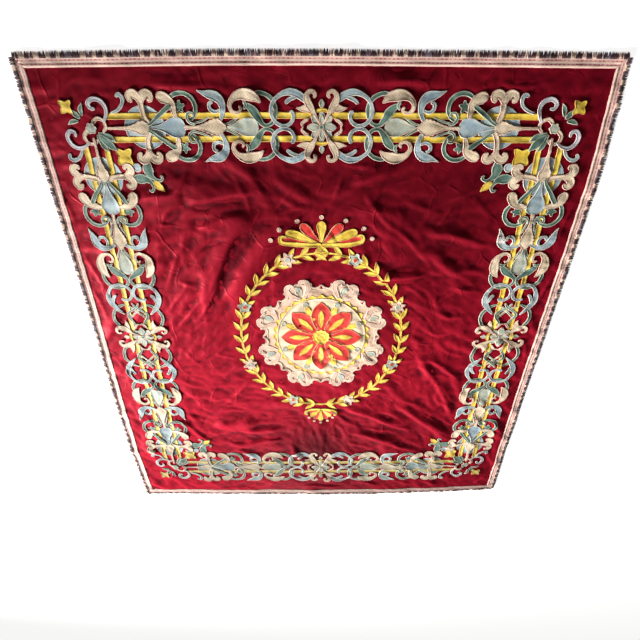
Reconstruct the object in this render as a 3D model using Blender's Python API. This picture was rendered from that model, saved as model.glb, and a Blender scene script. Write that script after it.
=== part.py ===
"""A large applique textile of red cloth, laid out on the floor in soft folds.

The ground cloth carries a woven galloon and a block fringe round its edge, a border of scroll
applique with two long rails in each side, and a round medallion with a wreath in the middle.

Every piece is drawn flat, as it was cut. It then bends with the cloth's edges, is cut along one net of
triangles that all pieces share, and is raised onto the folded cloth. Neighbouring layers therefore
have the same folds, with an even gap between them.
Metres, +Z up. The design's top points to +Y. The origin is under the middle of the cloth.
"""

import math
from collections import namedtuple

import bmesh
import bpy
from mathutils import Vector

# Driving dimensions
CLOTH_WIDTH = 2.00  # over the fringe
CLOTH_HEIGHT = 2.18
FRINGE_DROP = 0.016
GALLOON_WIDTH = 0.032
BAND_WIDTH = 0.210  # of the applique border
SIDE_BAND = 0.788  # from the middle of the design to the middle of a side band
END_BAND = 0.855  # the same, for the top and bottom bands
DESIGN_X = 0.005  # the design sits a little off the middle of the cloth
DESIGN_Y = 0.008

# Thicknesses and gaps
GROUND_THICKNESS = 0.0022
APPLIQUE_THICKNESS = 0.0012
GALLOON_THICKNESS = 0.0016
FRINGE_THICKNESS = 0.0014
GAP = 0.0004  # between any two pieces
FRINGE_LIFT = 0.0004  # the fringe hangs just clear of the floor

# The net of triangles that every piece is cut along
NET_COLUMNS = 28
NET_ROWS = 30
CELL_X = CLOTH_WIDTH / NET_COLUMNS
CELL_Y = CLOTH_HEIGHT / NET_ROWS
HEIGHT_STEP = 0.00025  # the net's heights are whole steps, so that its flat stretches are truly flat
FLAT_ANGLE = 0.0002  # faces that meet at less than this, in radians, are one flat face
CUT_DISTANCE = 0.000001  # a point this near a cut lies on it

# Border
RAIL_WIDTH = 0.021
RAIL_OFFSET = 0.0375  # from the middle of the band to the middle of a rail
SCROLL_FOOT = RAIL_OFFSET + RAIL_WIDTH / 2 + GAP  # from the middle of the band to a row of scrolls
SCROLL_RISE = BAND_WIDTH / 2 - SCROLL_FOOT
LOBE_PITCH = 0.118
SPINE_HALF_WIDTH = 0.0265
SPINE_HUSKS = 4  # in each half of a side
BAND_ROSETTE_RADIUS = 0.074
KNOT_RADIUS = 0.088
KNOT_CLEARANCE = 0.006
FLOWER_RADIUS = 0.036
FLOWER_INSET = 0.095  # from the corner knot's middle to the flower's middle, along X and Y
FLEUR_RADIUS = 0.064
FLEUR_INSET = 0.175
FRINGE_TUFTS = 18  # on each side
SHOULDER_DROP = 0.3 * FRINGE_DROP  # how far the fringe hangs between two tufts

# Medallion
WREATH_HALF_WIDTH = 0.352
WREATH_HALF_HEIGHT = 0.398
WREATH_BREADTH = 0.058
WREATH_LEAVES = 8  # on a quarter of the wreath
WREATH_SHARE = 0.96  # of its quarter that each arc fills
PALMETTE_LIFT = 0.004  # from the wreath to a palmette's foot
PALMETTE_TIPS = 7
PALMETTE_NOTCH = 0.86  # how far the fan reaches between two tips, as a share
PALMETTE_FOOT_SHARE = 0.42  # of its half width

# A place on the profile of a repeated shape: its share of the way along, and its share of the width
Place = namedtuple("Place", "along width")
LOBE = [Place(0.03, 0.45), Place(0.30, 1.0), Place(0.70, 1.0), Place(0.97, 0.45)]
HUSK = [Place(0.04, 0.22), Place(0.35, 0.70), Place(0.68, 1.0), Place(0.90, 0.62)]
TUFT = [Place(0.0, 1.0), Place(0.62, 1.0), Place(0.66, 0.3), Place(0.96, 0.3)]

# A round piece whose outline waves between lobes. deep is how much of the radius each wave takes off.
Round = namedtuple("Round", "radius lobes deep points layer finish")
BAND_ROSETTE = Round(BAND_ROSETTE_RADIUS * 1.38, 4, 0.55, 24, 2, "cream_silk")
KNOT = Round(KNOT_RADIUS, 8, 0.28, 24, 1, "cream_silk")
FLOWER = Round(FLOWER_RADIUS, 4, 0.48, 16, 1, "gold_silk")
FLEUR = Round(FLEUR_RADIUS, 3, 0.84, 24, 1, "green_silk")
MEDALLION = {
    "cartouche": Round(0.282, 8, 0.20, 32, 1, "cream_silk"),
    "roundel": Round(0.196, 0, 0.0, 28, 2, "silver_silk"),
    "petals": Round(0.178, 8, 0.48, 32, 3, "scarlet_silk"),
    "button": Round(0.040, 0, 0.0, 16, 4, "gold_silk"),
}

# A fan of leaves beyond the wreath. sign is 1 over it and -1 under it.
Palmette = namedtuple("Palmette", "sign half_width height")
PALMETTES = {"top": Palmette(1, 0.205, 0.108), "bottom": Palmette(-1, 0.100, 0.082)}

# How far each edge lies outwards from straight, at even steps from its left or bottom end to the other
EDGE_BOWS = {
    "left": (0.004, 0.018, 0.016, 0.004, -0.003, -0.006, -0.010),
    "right": (-0.004, -0.003, 0.002, 0.008, 0.014, 0.018, -0.008),
    "bottom": (-0.004, -0.002, 0.000, 0.000, -0.004, -0.020, -0.044),
    "top": (-0.008, -0.004, 0.000, 0.000, -0.003, -0.006, -0.010),
}
BOW_STEPS = 6
BOW_FADE = 4  # how fast a bow dies away from its edge, as a power

# A soft ridge. heading is in degrees from +X, length is the whole length, width is from crest to foot.
Fold = namedtuple("Fold", "x y heading length width height")
FOLDS = [
    # upper left
    Fold(-0.45, 0.36, 56, 0.60, 0.080, 0.011),
    Fold(-0.28, 0.35, 50, 0.62, 0.080, 0.014),
    Fold(-0.38, 0.55, 9, 0.30, 0.075, 0.006),
    Fold(-0.36, 0.64, 4, 0.34, 0.075, 0.006),
    Fold(-0.58, 0.62, 20, 0.30, 0.080, 0.005),
    Fold(-0.25, 0.68, -50, 0.26, 0.075, 0.004),
    Fold(-0.58, 0.22, 48, 0.36, 0.080, 0.003),
    # upper right
    Fold(0.29, 0.49, -45, 0.56, 0.085, 0.006),
    Fold(0.54, 0.46, -12, 0.34, 0.080, 0.005),
    Fold(0.54, 0.64, 25, 0.28, 0.080, 0.003),
    Fold(0.19, 0.70, 30, 0.28, 0.080, 0.005),
    Fold(0.54, 0.32, -25, 0.34, 0.080, 0.005),
    Fold(0.36, 0.30, 5, 0.30, 0.080, 0.007),
    Fold(0.42, 0.16, -45, 0.34, 0.080, 0.002),
    # right
    Fold(0.56, -0.16, -28, 0.30, 0.080, 0.005),
    Fold(0.59, -0.29, -60, 0.46, 0.085, 0.005),
    # lower right
    Fold(0.29, -0.49, -25, 0.44, 0.090, 0.008),
    Fold(0.50, -0.49, -40, 0.44, 0.090, 0.009),
    Fold(0.33, -0.66, -22, 0.48, 0.085, 0.008),
    # lower left
    Fold(-0.42, -0.52, 3, 0.34, 0.085, 0.013),
    Fold(-0.66, -0.57, -52, 0.34, 0.080, 0.005),
    Fold(-0.34, -0.67, 3, 0.40, 0.080, 0.006),
    Fold(-0.30, -0.57, 1, 0.30, 0.080, 0.004),
    # middle of the lower field
    Fold(-0.02, -0.64, -82, 0.24, 0.080, 0.002),
    # across the border, out to the edges
    Fold(-0.87, -0.72, -38, 0.36, 0.080, 0.005),
    Fold(0.05, -1.01, -6, 0.40, 0.085, 0.003),
    Fold(0.89, -0.54, -50, 0.34, 0.080, 0.004),
]
FIELD_LOFT = 0.006  # how far small creases hold the field off the floor
LOFT_SPREAD = 0.16  # from where the field leaves the floor to where it is fully up

# Colours as linear red, green, blue, with a roughness
Finish = namedtuple("Finish", "red green blue roughness")
FINISHES = {
    "crimson_cloth": Finish(0.33, 0.014, 0.025, 0.62),
    "galloon_weave": Finish(0.66, 0.37, 0.32, 0.80),
    "fringe_silk": Finish(0.20, 0.07, 0.06, 0.85),
    "gold_silk": Finish(0.70, 0.44, 0.06, 0.70),
    "cream_silk": Finish(0.72, 0.56, 0.38, 0.75),
    "blue_silk": Finish(0.28, 0.41, 0.55, 0.72),
    "green_silk": Finish(0.07, 0.19, 0.15, 0.75),
    "scarlet_silk": Finish(0.58, 0.03, 0.02, 0.68),
    "silver_silk": Finish(0.40, 0.46, 0.47, 0.60),
}

# A side of the border: the middle line of its band, its turn from the right side, and half its length
Side = namedtuple("Side", "name band edge turn half_length")
SIDES = [
    Side("right", SIDE_BAND, CLOTH_WIDTH / 2, 0.0, CLOTH_HEIGHT / 2),
    Side("top", END_BAND, CLOTH_HEIGHT / 2, math.pi / 2, CLOTH_WIDTH / 2),
    Side("left", SIDE_BAND, CLOTH_WIDTH / 2, math.pi, CLOTH_HEIGHT / 2),
    Side("bottom", END_BAND, CLOTH_HEIGHT / 2, -math.pi / 2, CLOTH_WIDTH / 2),
]


def bow_at(edge, share):
    """How far an edge lies outwards at a share of the way along it."""
    bows = EDGE_BOWS[edge]
    place = min(max(share, 0.0), 1.0) * BOW_STEPS
    step = min(int(place), BOW_STEPS - 1)
    return bows[step] + (bows[step + 1] - bows[step]) * (place - step)


def as_laid(x, y):
    """Where a point of the flat cloth comes to lie, seen from above."""
    to_right = x / CLOTH_WIDTH + 0.5
    to_top = y / CLOTH_HEIGHT + 0.5
    shift_x = bow_at("right", to_top) * to_right**BOW_FADE - bow_at("left", to_top) * (1 - to_right) ** BOW_FADE
    shift_y = bow_at("top", to_right) * to_top**BOW_FADE - bow_at("bottom", to_right) * (1 - to_top) ** BOW_FADE
    return x + shift_x, y + shift_y


def fold_height(x, y):
    """The height of the cloth off the floor: the field's loft, and the sum of its folds.

    Within a cell of the edge, the galloon holds the cloth straight across its width.
    """
    x_limit = CLOTH_WIDTH / 2 - CELL_X
    y_limit = CLOTH_HEIGHT / 2 - CELL_Y
    x = max(-x_limit, min(x_limit, x))
    y = max(-y_limit, min(y_limit, y))
    share = min(1.0, min(x_limit - abs(x), y_limit - abs(y)) / LOFT_SPREAD)
    total = FIELD_LOFT * share**2 * (3 - 2 * share)
    for fold in FOLDS:
        turn = math.radians(fold.heading)
        away_x, away_y = x - fold.x, y - fold.y
        along = (away_x * math.cos(turn) + away_y * math.sin(turn)) / (fold.length / 2)
        across = (away_y * math.cos(turn) - away_x * math.sin(turn)) / fold.width
        if abs(along) < 1 and abs(across) < 1:
            total += fold.height * (1 - along**2) ** 2 * math.cos(math.pi * across / 2) ** 2
    return HEIGHT_STEP * round(total / HEIGHT_STEP)


def knot_height(column, row):
    """The height of the cloth at one knot of the net."""
    return fold_height(-CLOTH_WIDTH / 2 + column * CELL_X, -CLOTH_HEIGHT / 2 + row * CELL_Y)


KNOTS = [[knot_height(column, row) for row in range(NET_ROWS + 1)] for column in range(NET_COLUMNS + 1)]


def net_height(x, y):
    """The height of the cloth at any point, level or sloping inside each triangle of the net.

    A cell's diagonal runs from its upper left knot to its lower right one.
    """
    place_x = min(max((x + CLOTH_WIDTH / 2) / CELL_X, 0.0), NET_COLUMNS - 1e-9)
    place_y = min(max((y + CLOTH_HEIGHT / 2) / CELL_Y, 0.0), NET_ROWS - 1e-9)
    column, row = int(place_x), int(place_y)
    a, b = place_x - column, place_y - row
    lower_right, upper_left = KNOTS[column + 1][row], KNOTS[column][row + 1]
    if a + b <= 1:
        near = KNOTS[column][row]
        return near + (lower_right - near) * a + (upper_left - near) * b
    far = KNOTS[column + 1][row + 1]
    return far + (upper_left - far) * (1 - a) + (lower_right - far) * (1 - b)


def net_lines():
    """A point and a normal for each line of the net: its columns, rows and diagonals."""
    left, foot = -CLOTH_WIDTH / 2, -CLOTH_HEIGHT / 2
    slant = Vector((1 / CELL_X, 1 / CELL_Y, 0)).normalized()
    lines = [(Vector((left + column * CELL_X, 0, 0)), Vector((1, 0, 0))) for column in range(1, NET_COLUMNS)]
    lines += [(Vector((0, foot + row * CELL_Y, 0)), Vector((0, 1, 0))) for row in range(1, NET_ROWS)]
    lines += [(Vector((left + line * CELL_X, foot, 0)), slant) for line in range(1, NET_COLUMNS + NET_ROWS)]
    return lines


def cut_along_net(mesh):
    """Cuts a flat mesh where the lines of the net cross it."""
    for point, normal in net_lines():
        reach = [normal.dot(vertex.co - point) for vertex in mesh.verts]
        if min(reach) < 0 < max(reach):
            bmesh.ops.bisect_plane(
                mesh,
                geom=mesh.verts[:] + mesh.edges[:] + mesh.faces[:],
                dist=CUT_DISTANCE,
                plane_co=point,
                plane_no=normal,
            )


def material_of(finish_name):
    """A Principled BSDF material, made once for each finish."""
    found = bpy.data.materials.get(finish_name)
    if found:
        return found
    finish = FINISHES[finish_name]
    made = bpy.data.materials.new(finish_name)
    made.use_nodes = True
    shader = made.node_tree.nodes["Principled BSDF"]
    shader.inputs["Base Color"].default_value = (finish.red, finish.green, finish.blue, 1)
    shader.inputs["Roughness"].default_value = finish.roughness
    shader.inputs["Metallic"].default_value = 0.0
    return made


def flat_piece(outline, thickness):
    """The mesh of an outline as it is laid, drawn up to a thickness, its underside at zero height."""
    mesh = bmesh.new()
    underside = mesh.faces.new([mesh.verts.new((*as_laid(x, y), 0)) for x, y in outline])
    drawn_up = bmesh.ops.extrude_face_region(mesh, geom=[underside], use_keep_orig=True)["geom"]
    risen = [part for part in drawn_up if isinstance(part, bmesh.types.BMVert)]
    bmesh.ops.translate(mesh, verts=risen, vec=(0, 0, thickness))
    return mesh


def lay_piece(name, outline, thickness, height, finish_name, collection):
    """Lays a flat outline on the folded cloth, its underside at a height above the cloth's underside."""
    mesh = flat_piece(outline, thickness)
    cut_along_net(mesh)
    for vertex in mesh.verts:
        vertex.co.z += height + net_height(vertex.co.x, vertex.co.y)
    bmesh.ops.dissolve_limit(mesh, angle_limit=FLAT_ANGLE, verts=mesh.verts, edges=mesh.edges)
    bmesh.ops.recalc_face_normals(mesh, faces=mesh.faces)
    data = bpy.data.meshes.new(name)
    mesh.to_mesh(data)
    mesh.free()
    data.materials.append(material_of(finish_name))
    collection.objects.link(bpy.data.objects.new(name, data))


def lay_applique(name, outline, layer, finish_name, collection):
    """Lays a piece of applique in its layer, the layers counted from 1 upwards."""
    height = GROUND_THICKNESS + GAP + (layer - 1) * (APPLIQUE_THICKNESS + GAP)
    placed = [(x + DESIGN_X, y + DESIGN_Y) for x, y in outline]
    lay_piece(name, placed, APPLIQUE_THICKNESS, height, finish_name, collection)


def lay_round(name, middle, shape, collection, turn=0.0):
    """Lays a round piece of applique, one of its lobes pointing along its turn."""
    outline = []
    for step in range(shape.points):
        angle = 2 * math.pi * step / shape.points
        radius = shape.radius * (1 - shape.deep * (1 - math.cos(shape.lobes * angle)) / 2)
        x = middle[0] + radius * math.cos(angle + turn)
        y = middle[1] + radius * math.sin(angle + turn)
        outline.append((x, y))
    lay_applique(name, outline, shape.layer, shape.finish, collection)


def on_side(side, points):
    """Turns points given as (out from the middle of the cloth, along the side) onto their side."""
    turned = []
    for out, along in points:
        x = out * math.cos(side.turn) - along * math.sin(side.turn)
        y = out * math.sin(side.turn) + along * math.cos(side.turn)
        turned.append((x, y))
    return turned


def long_edge(side, out, start, end):
    """The points of a straight line along a side, with one more wherever the edge's bow can turn."""
    places = [side.half_length * (2 * step / BOW_STEPS - 1) for step in range(BOW_STEPS + 1)]
    between = [place for place in places if min(start, end) < place < max(start, end)]
    return [(out, along) for along in (start, *sorted(between, reverse=start > end), end)]


def band_reach(side):
    """How far the pieces of a side run from its middle: up to the corner knot."""
    crossing = SIDE_BAND if side.band == END_BAND else END_BAND
    return crossing - KNOT_RADIUS - KNOT_CLEARANCE


def make_ground(collection):
    """The red cloth, ending under the outer edge of the galloon."""
    outline = []
    for side in SIDES:
        end = side.half_length - FRINGE_DROP
        outline += on_side(side, long_edge(side, side.edge - FRINGE_DROP, -end, end)[:-1])
    lay_piece("ground_cloth", outline, GROUND_THICKNESS, 0.0, "crimson_cloth", collection)


def make_galloon(side, collection):
    """One length of woven galloon on the cloth's edge, mitred at both ends."""
    edge = side.edge - FRINGE_DROP
    end = side.half_length - FRINGE_DROP - GAP
    galloon = long_edge(side, edge, -end, end)
    galloon += long_edge(side, edge - GALLOON_WIDTH, end - GALLOON_WIDTH, GALLOON_WIDTH - end)
    height = GROUND_THICKNESS + GAP
    lay_piece(f"galloon_{side.name}", on_side(side, galloon), GALLOON_THICKNESS, height, "galloon_weave", collection)


def make_fringe(side, collection):
    """The block fringe outside a galloon, as a comb of tufts on one short heading."""
    head = side.edge - FRINGE_DROP + GAP
    end = side.half_length - FRINGE_DROP - GAP
    pitch = 2 * end / FRINGE_TUFTS
    comb = long_edge(side, head, end, -end)
    for tuft in range(FRINGE_TUFTS):
        for place in TUFT:
            comb.append((head + (side.edge - head) * place.width, pitch * (tuft + place.along) - end))
    comb = comb[:-2]
    comb[-1] = (side.edge, end)
    lay_piece(f"fringe_{side.name}", on_side(side, comb), FRINGE_THICKNESS, FRINGE_LIFT, "fringe_silk", collection)


def make_rails(side, collection):
    """The two long yellow strips of a side."""
    reach = band_reach(side)
    for place, offset in (("outer", RAIL_OFFSET), ("inner", -RAIL_OFFSET)):
        middle = side.band + offset
        strip = long_edge(side, middle + RAIL_WIDTH / 2, -reach, reach)
        strip += long_edge(side, middle - RAIL_WIDTH / 2, reach, -reach)
        lay_applique(f"rail_{side.name}_{place}", on_side(side, strip), 1, "gold_silk", collection)


def make_scroll_rows(side, collection):
    """The rows of C-scrolls beside each rail, their far side a string of round lobes. The inner row ends
    before the flower in the corner."""
    flower_foot = FLOWER_INSET + FLOWER_RADIUS - KNOT_RADIUS
    for place, sign, kept_back in (("outer", 1, 0.0), ("inner", -1, flower_foot)):
        reach = band_reach(side) - kept_back
        lobes = 2 * round(reach / LOBE_PITCH)
        foot = side.band + sign * SCROLL_FOOT
        row = long_edge(side, foot, reach, -reach)
        for lobe in range(lobes):
            for point in LOBE:
                along = -reach + 2 * reach * (lobe + point.along) / lobes
                row.append((foot + sign * SCROLL_RISE * point.width, along))
        lay_applique(f"scroll_row_{side.name}_{place}", on_side(side, row), 1, "blue_silk", collection)


def make_spines(side, collection):
    """The husks and vases between the rails, one string of them on each half of a side."""
    first = BAND_ROSETTE_RADIUS
    pitch = (band_reach(side) - first) / SPINE_HUSKS
    for half, sign in (("a", 1), ("b", -1)):
        profile = []
        for husk in range(SPINE_HUSKS):
            for place in HUSK:
                profile.append((SPINE_HALF_WIDTH * place.width, sign * (first + pitch * (husk + place.along))))
        spine = [(side.band + width, along) for width, along in profile]
        spine += [(side.band - width, along) for width, along in reversed(profile)]
        lay_applique(f"spine_{side.name}_{half}", on_side(side, spine), 1, "silver_silk", collection)


def make_corner(x_sign, y_sign, collection):
    """The knot where two bands meet, the flower in its inner angle and the fleur that points inwards."""
    place = ("bottom" if y_sign < 0 else "top") + "_" + ("left" if x_sign < 0 else "right")
    inwards = math.atan2(-y_sign, -x_sign)
    for name, shape, inset in (("knot", KNOT, 0.0), ("flower", FLOWER, FLOWER_INSET), ("fleur", FLEUR, FLEUR_INSET)):
        middle = (x_sign * (SIDE_BAND - inset), y_sign * (END_BAND - inset))
        turn = inwards if name == "fleur" else 0.0
        lay_round(f"corner_{name}_{place}", middle, shape, collection, turn)


def make_wreath(collection):
    """The wreath round the medallion, in four arcs, each side of an arc a string of leaf tips."""
    steps = 2 * WREATH_LEAVES
    for quarter, name in enumerate(("upper_right", "upper_left", "lower_left", "lower_right")):
        outer, inner = [], []
        for step in range(steps + 1):
            share = 0.5 + WREATH_SHARE * (step / steps - 0.5)
            angle = math.pi / 2 * (quarter + share)
            swell = WREATH_BREADTH / 2 * (1.0 if step % 2 else 0.55)
            ray_x, ray_y = math.cos(angle), math.sin(angle)
            outer.append(((WREATH_HALF_WIDTH + swell) * ray_x, (WREATH_HALF_HEIGHT + swell) * ray_y))
            inner.append(((WREATH_HALF_WIDTH - swell) * ray_x, (WREATH_HALF_HEIGHT - swell) * ray_y))
        lay_applique(f"wreath_{name}", outer + inner[::-1], 1, "gold_silk", collection)


def make_palmette(name, fan, collection):
    """A fan of leaf tips on a straight foot, beyond the wreath."""
    foot = WREATH_HALF_HEIGHT + WREATH_BREADTH / 2 + PALMETTE_LIFT
    middle = foot + 0.1 * fan.height
    half_foot = PALMETTE_FOOT_SHARE * fan.half_width
    outline = [(-half_foot, fan.sign * foot), (half_foot, fan.sign * foot)]
    for step in range(2 * PALMETTE_TIPS + 1):
        angle = math.pi * step / (2 * PALMETTE_TIPS)
        reach = 1.0 if step % 2 else PALMETTE_NOTCH
        x = reach * fan.half_width * math.cos(angle)
        y = fan.sign * (middle + 0.9 * reach * fan.height * math.sin(angle))
        outline.append((x, y))
    lay_applique(f"palmette_{name}", outline, 1, "gold_silk", collection)


def main():
    for old in list(bpy.data.objects):
        bpy.data.objects.remove(old)
    textile = bpy.data.collections.new("applique_textile")
    bpy.context.scene.collection.children.link(textile)
    make_ground(textile)
    for side in SIDES:
        make_galloon(side, textile)
        make_fringe(side, textile)
        make_rails(side, textile)
        make_scroll_rows(side, textile)
        make_spines(side, textile)
        middle = on_side(side, [(side.band, 0.0)])[0]
        lay_round(f"band_rosette_{side.name}", middle, BAND_ROSETTE, textile, math.pi / 4)
    for x_sign in (-1, 1):
        for y_sign in (-1, 1):
            make_corner(x_sign, y_sign, textile)
    make_wreath(textile)
    for name, fan in PALMETTES.items():
        make_palmette(name, fan, textile)
    for name, shape in MEDALLION.items():
        lay_round(f"medallion_{name}", (0.0, 0.0), shape, textile)


main()
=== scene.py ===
"""A large red cloth with a border of scroll applique, laid loosely on the floor.

The ground cloth, its galloon, its block fringe and every piece of applique are worked out flat, as a
maker cuts them, and then laid over one folded surface. Sizes are in metres unless a name ends in _mm,
+Z is up and the top of the design points to +Y.
"""

from __future__ import annotations

import logging
import math
from collections.abc import Callable
from dataclasses import dataclass, field
from enum import Enum

import bpy
import numpy as np
from bpy.types import Material, Mesh, Node, NodeSocket, NodeTree, Object
from mathutils import Matrix, Vector

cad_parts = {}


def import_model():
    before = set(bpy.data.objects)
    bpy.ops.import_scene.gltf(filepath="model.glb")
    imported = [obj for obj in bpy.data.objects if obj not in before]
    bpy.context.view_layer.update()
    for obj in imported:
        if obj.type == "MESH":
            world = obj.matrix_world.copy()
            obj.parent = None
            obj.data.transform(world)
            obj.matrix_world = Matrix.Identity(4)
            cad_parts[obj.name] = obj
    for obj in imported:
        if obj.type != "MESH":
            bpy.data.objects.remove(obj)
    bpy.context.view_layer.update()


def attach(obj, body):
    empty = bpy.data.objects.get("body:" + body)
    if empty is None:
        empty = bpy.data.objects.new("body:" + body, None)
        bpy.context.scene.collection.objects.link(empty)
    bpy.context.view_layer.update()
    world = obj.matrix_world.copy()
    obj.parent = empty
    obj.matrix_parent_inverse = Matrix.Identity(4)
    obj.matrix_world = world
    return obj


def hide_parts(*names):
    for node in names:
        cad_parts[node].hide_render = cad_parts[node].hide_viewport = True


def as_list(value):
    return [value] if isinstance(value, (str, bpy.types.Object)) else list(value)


LOG = logging.getLogger("applique_textile")
MM = 0.001
WAVES = 3.18  # how many bands a wave texture draws in a metre at scale 1, about
BLEND = {"data_type": "RGBA"}  # one colour laid over another
SHADE = {"data_type": "RGBA", "blend_type": "MULTIPLY"}  # a colour made darker
Array = np.ndarray


# ---------------------------------------------------------------- finishes


def linear(hex_colour: str) -> tuple[float, float, float, float]:
    """Turns an sRGB hex colour into linear red, green, blue and alpha.

    Args:
        hex_colour: Six hex digits, such as "a8182c".

    Returns:
        The linear colour with alpha 1.
    """
    channels = [int(hex_colour[place : place + 2], 16) / 255 for place in (0, 2, 4)]
    bent = [c / 12.92 if c <= 0.04045 else ((c + 0.055) / 1.055) ** 2.4 for c in channels]
    return (bent[0], bent[1], bent[2], 1.0)


def add(tree: NodeTree, kind: str, inputs: dict | None = None, take: str = "", **settings) -> NodeSocket:
    """Adds a shader node with its settings, values and links.

    Args:
        tree: The material's node tree.
        kind: The node's type, without its ShaderNode.
        inputs: Socket name or number to a value, a hex colour or the output socket that feeds it.
        take: Name of the output that is given back, or nothing for the first one in use.
        settings: The node's own properties.

    Returns:
        That output socket.
    """
    node = tree.nodes.new(f"ShaderNode{kind}")
    for name, value in settings.items():
        setattr(node, name, value)
    for name, value in (inputs or {}).items():
        if isinstance(value, NodeSocket):
            tree.links.new(value, node.inputs[name])
        else:
            node.inputs[name].default_value = linear(value) if isinstance(value, str) else value
    return node.outputs[take] if take else next(output for output in node.outputs if output.enabled)


def started(label: str, **finish) -> tuple[Material, NodeTree, Node]:
    """Starts a material with what is the same all over it on its shader's own sockets.

    Args:
        label: The material's name.
        finish: Socket name, with _ for each space, to its value or hex colour.

    Returns:
        The material, its node tree and its shader.
    """
    material = bpy.data.materials.new(label)
    material.use_nodes = True
    shader = material.node_tree.nodes["Principled BSDF"]
    for name, value in finish.items():
        value = linear(value) if isinstance(value, str) else value
        shader.inputs[name.replace("_", " ")].default_value = value
    return material, material.node_tree, shader


def per(size_mm: float) -> float:
    """How many times a pattern of this size fits into a metre, which is the scale of a texture."""
    return 1 / (size_mm * MM)


def turns_per(pitch_mm: float) -> float:
    """The angle that a wave of this pitch turns through in a metre, in radians."""
    return 2 * math.pi / (pitch_mm * MM)


class Silk(Enum):
    """The dyed cloths that the applique is cut from."""

    GOLD = "gold"
    CREAM = "cream"
    BLUE = "blue"
    GREEN = "green"
    SCARLET = "scarlet"
    SILVER = "silver"
    ROSE = "rose"
    LILAC = "lilac"


GOLD, CREAM, BLUE, GREEN, SCARLET, SILVER, ROSE, LILAC = Silk


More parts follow.
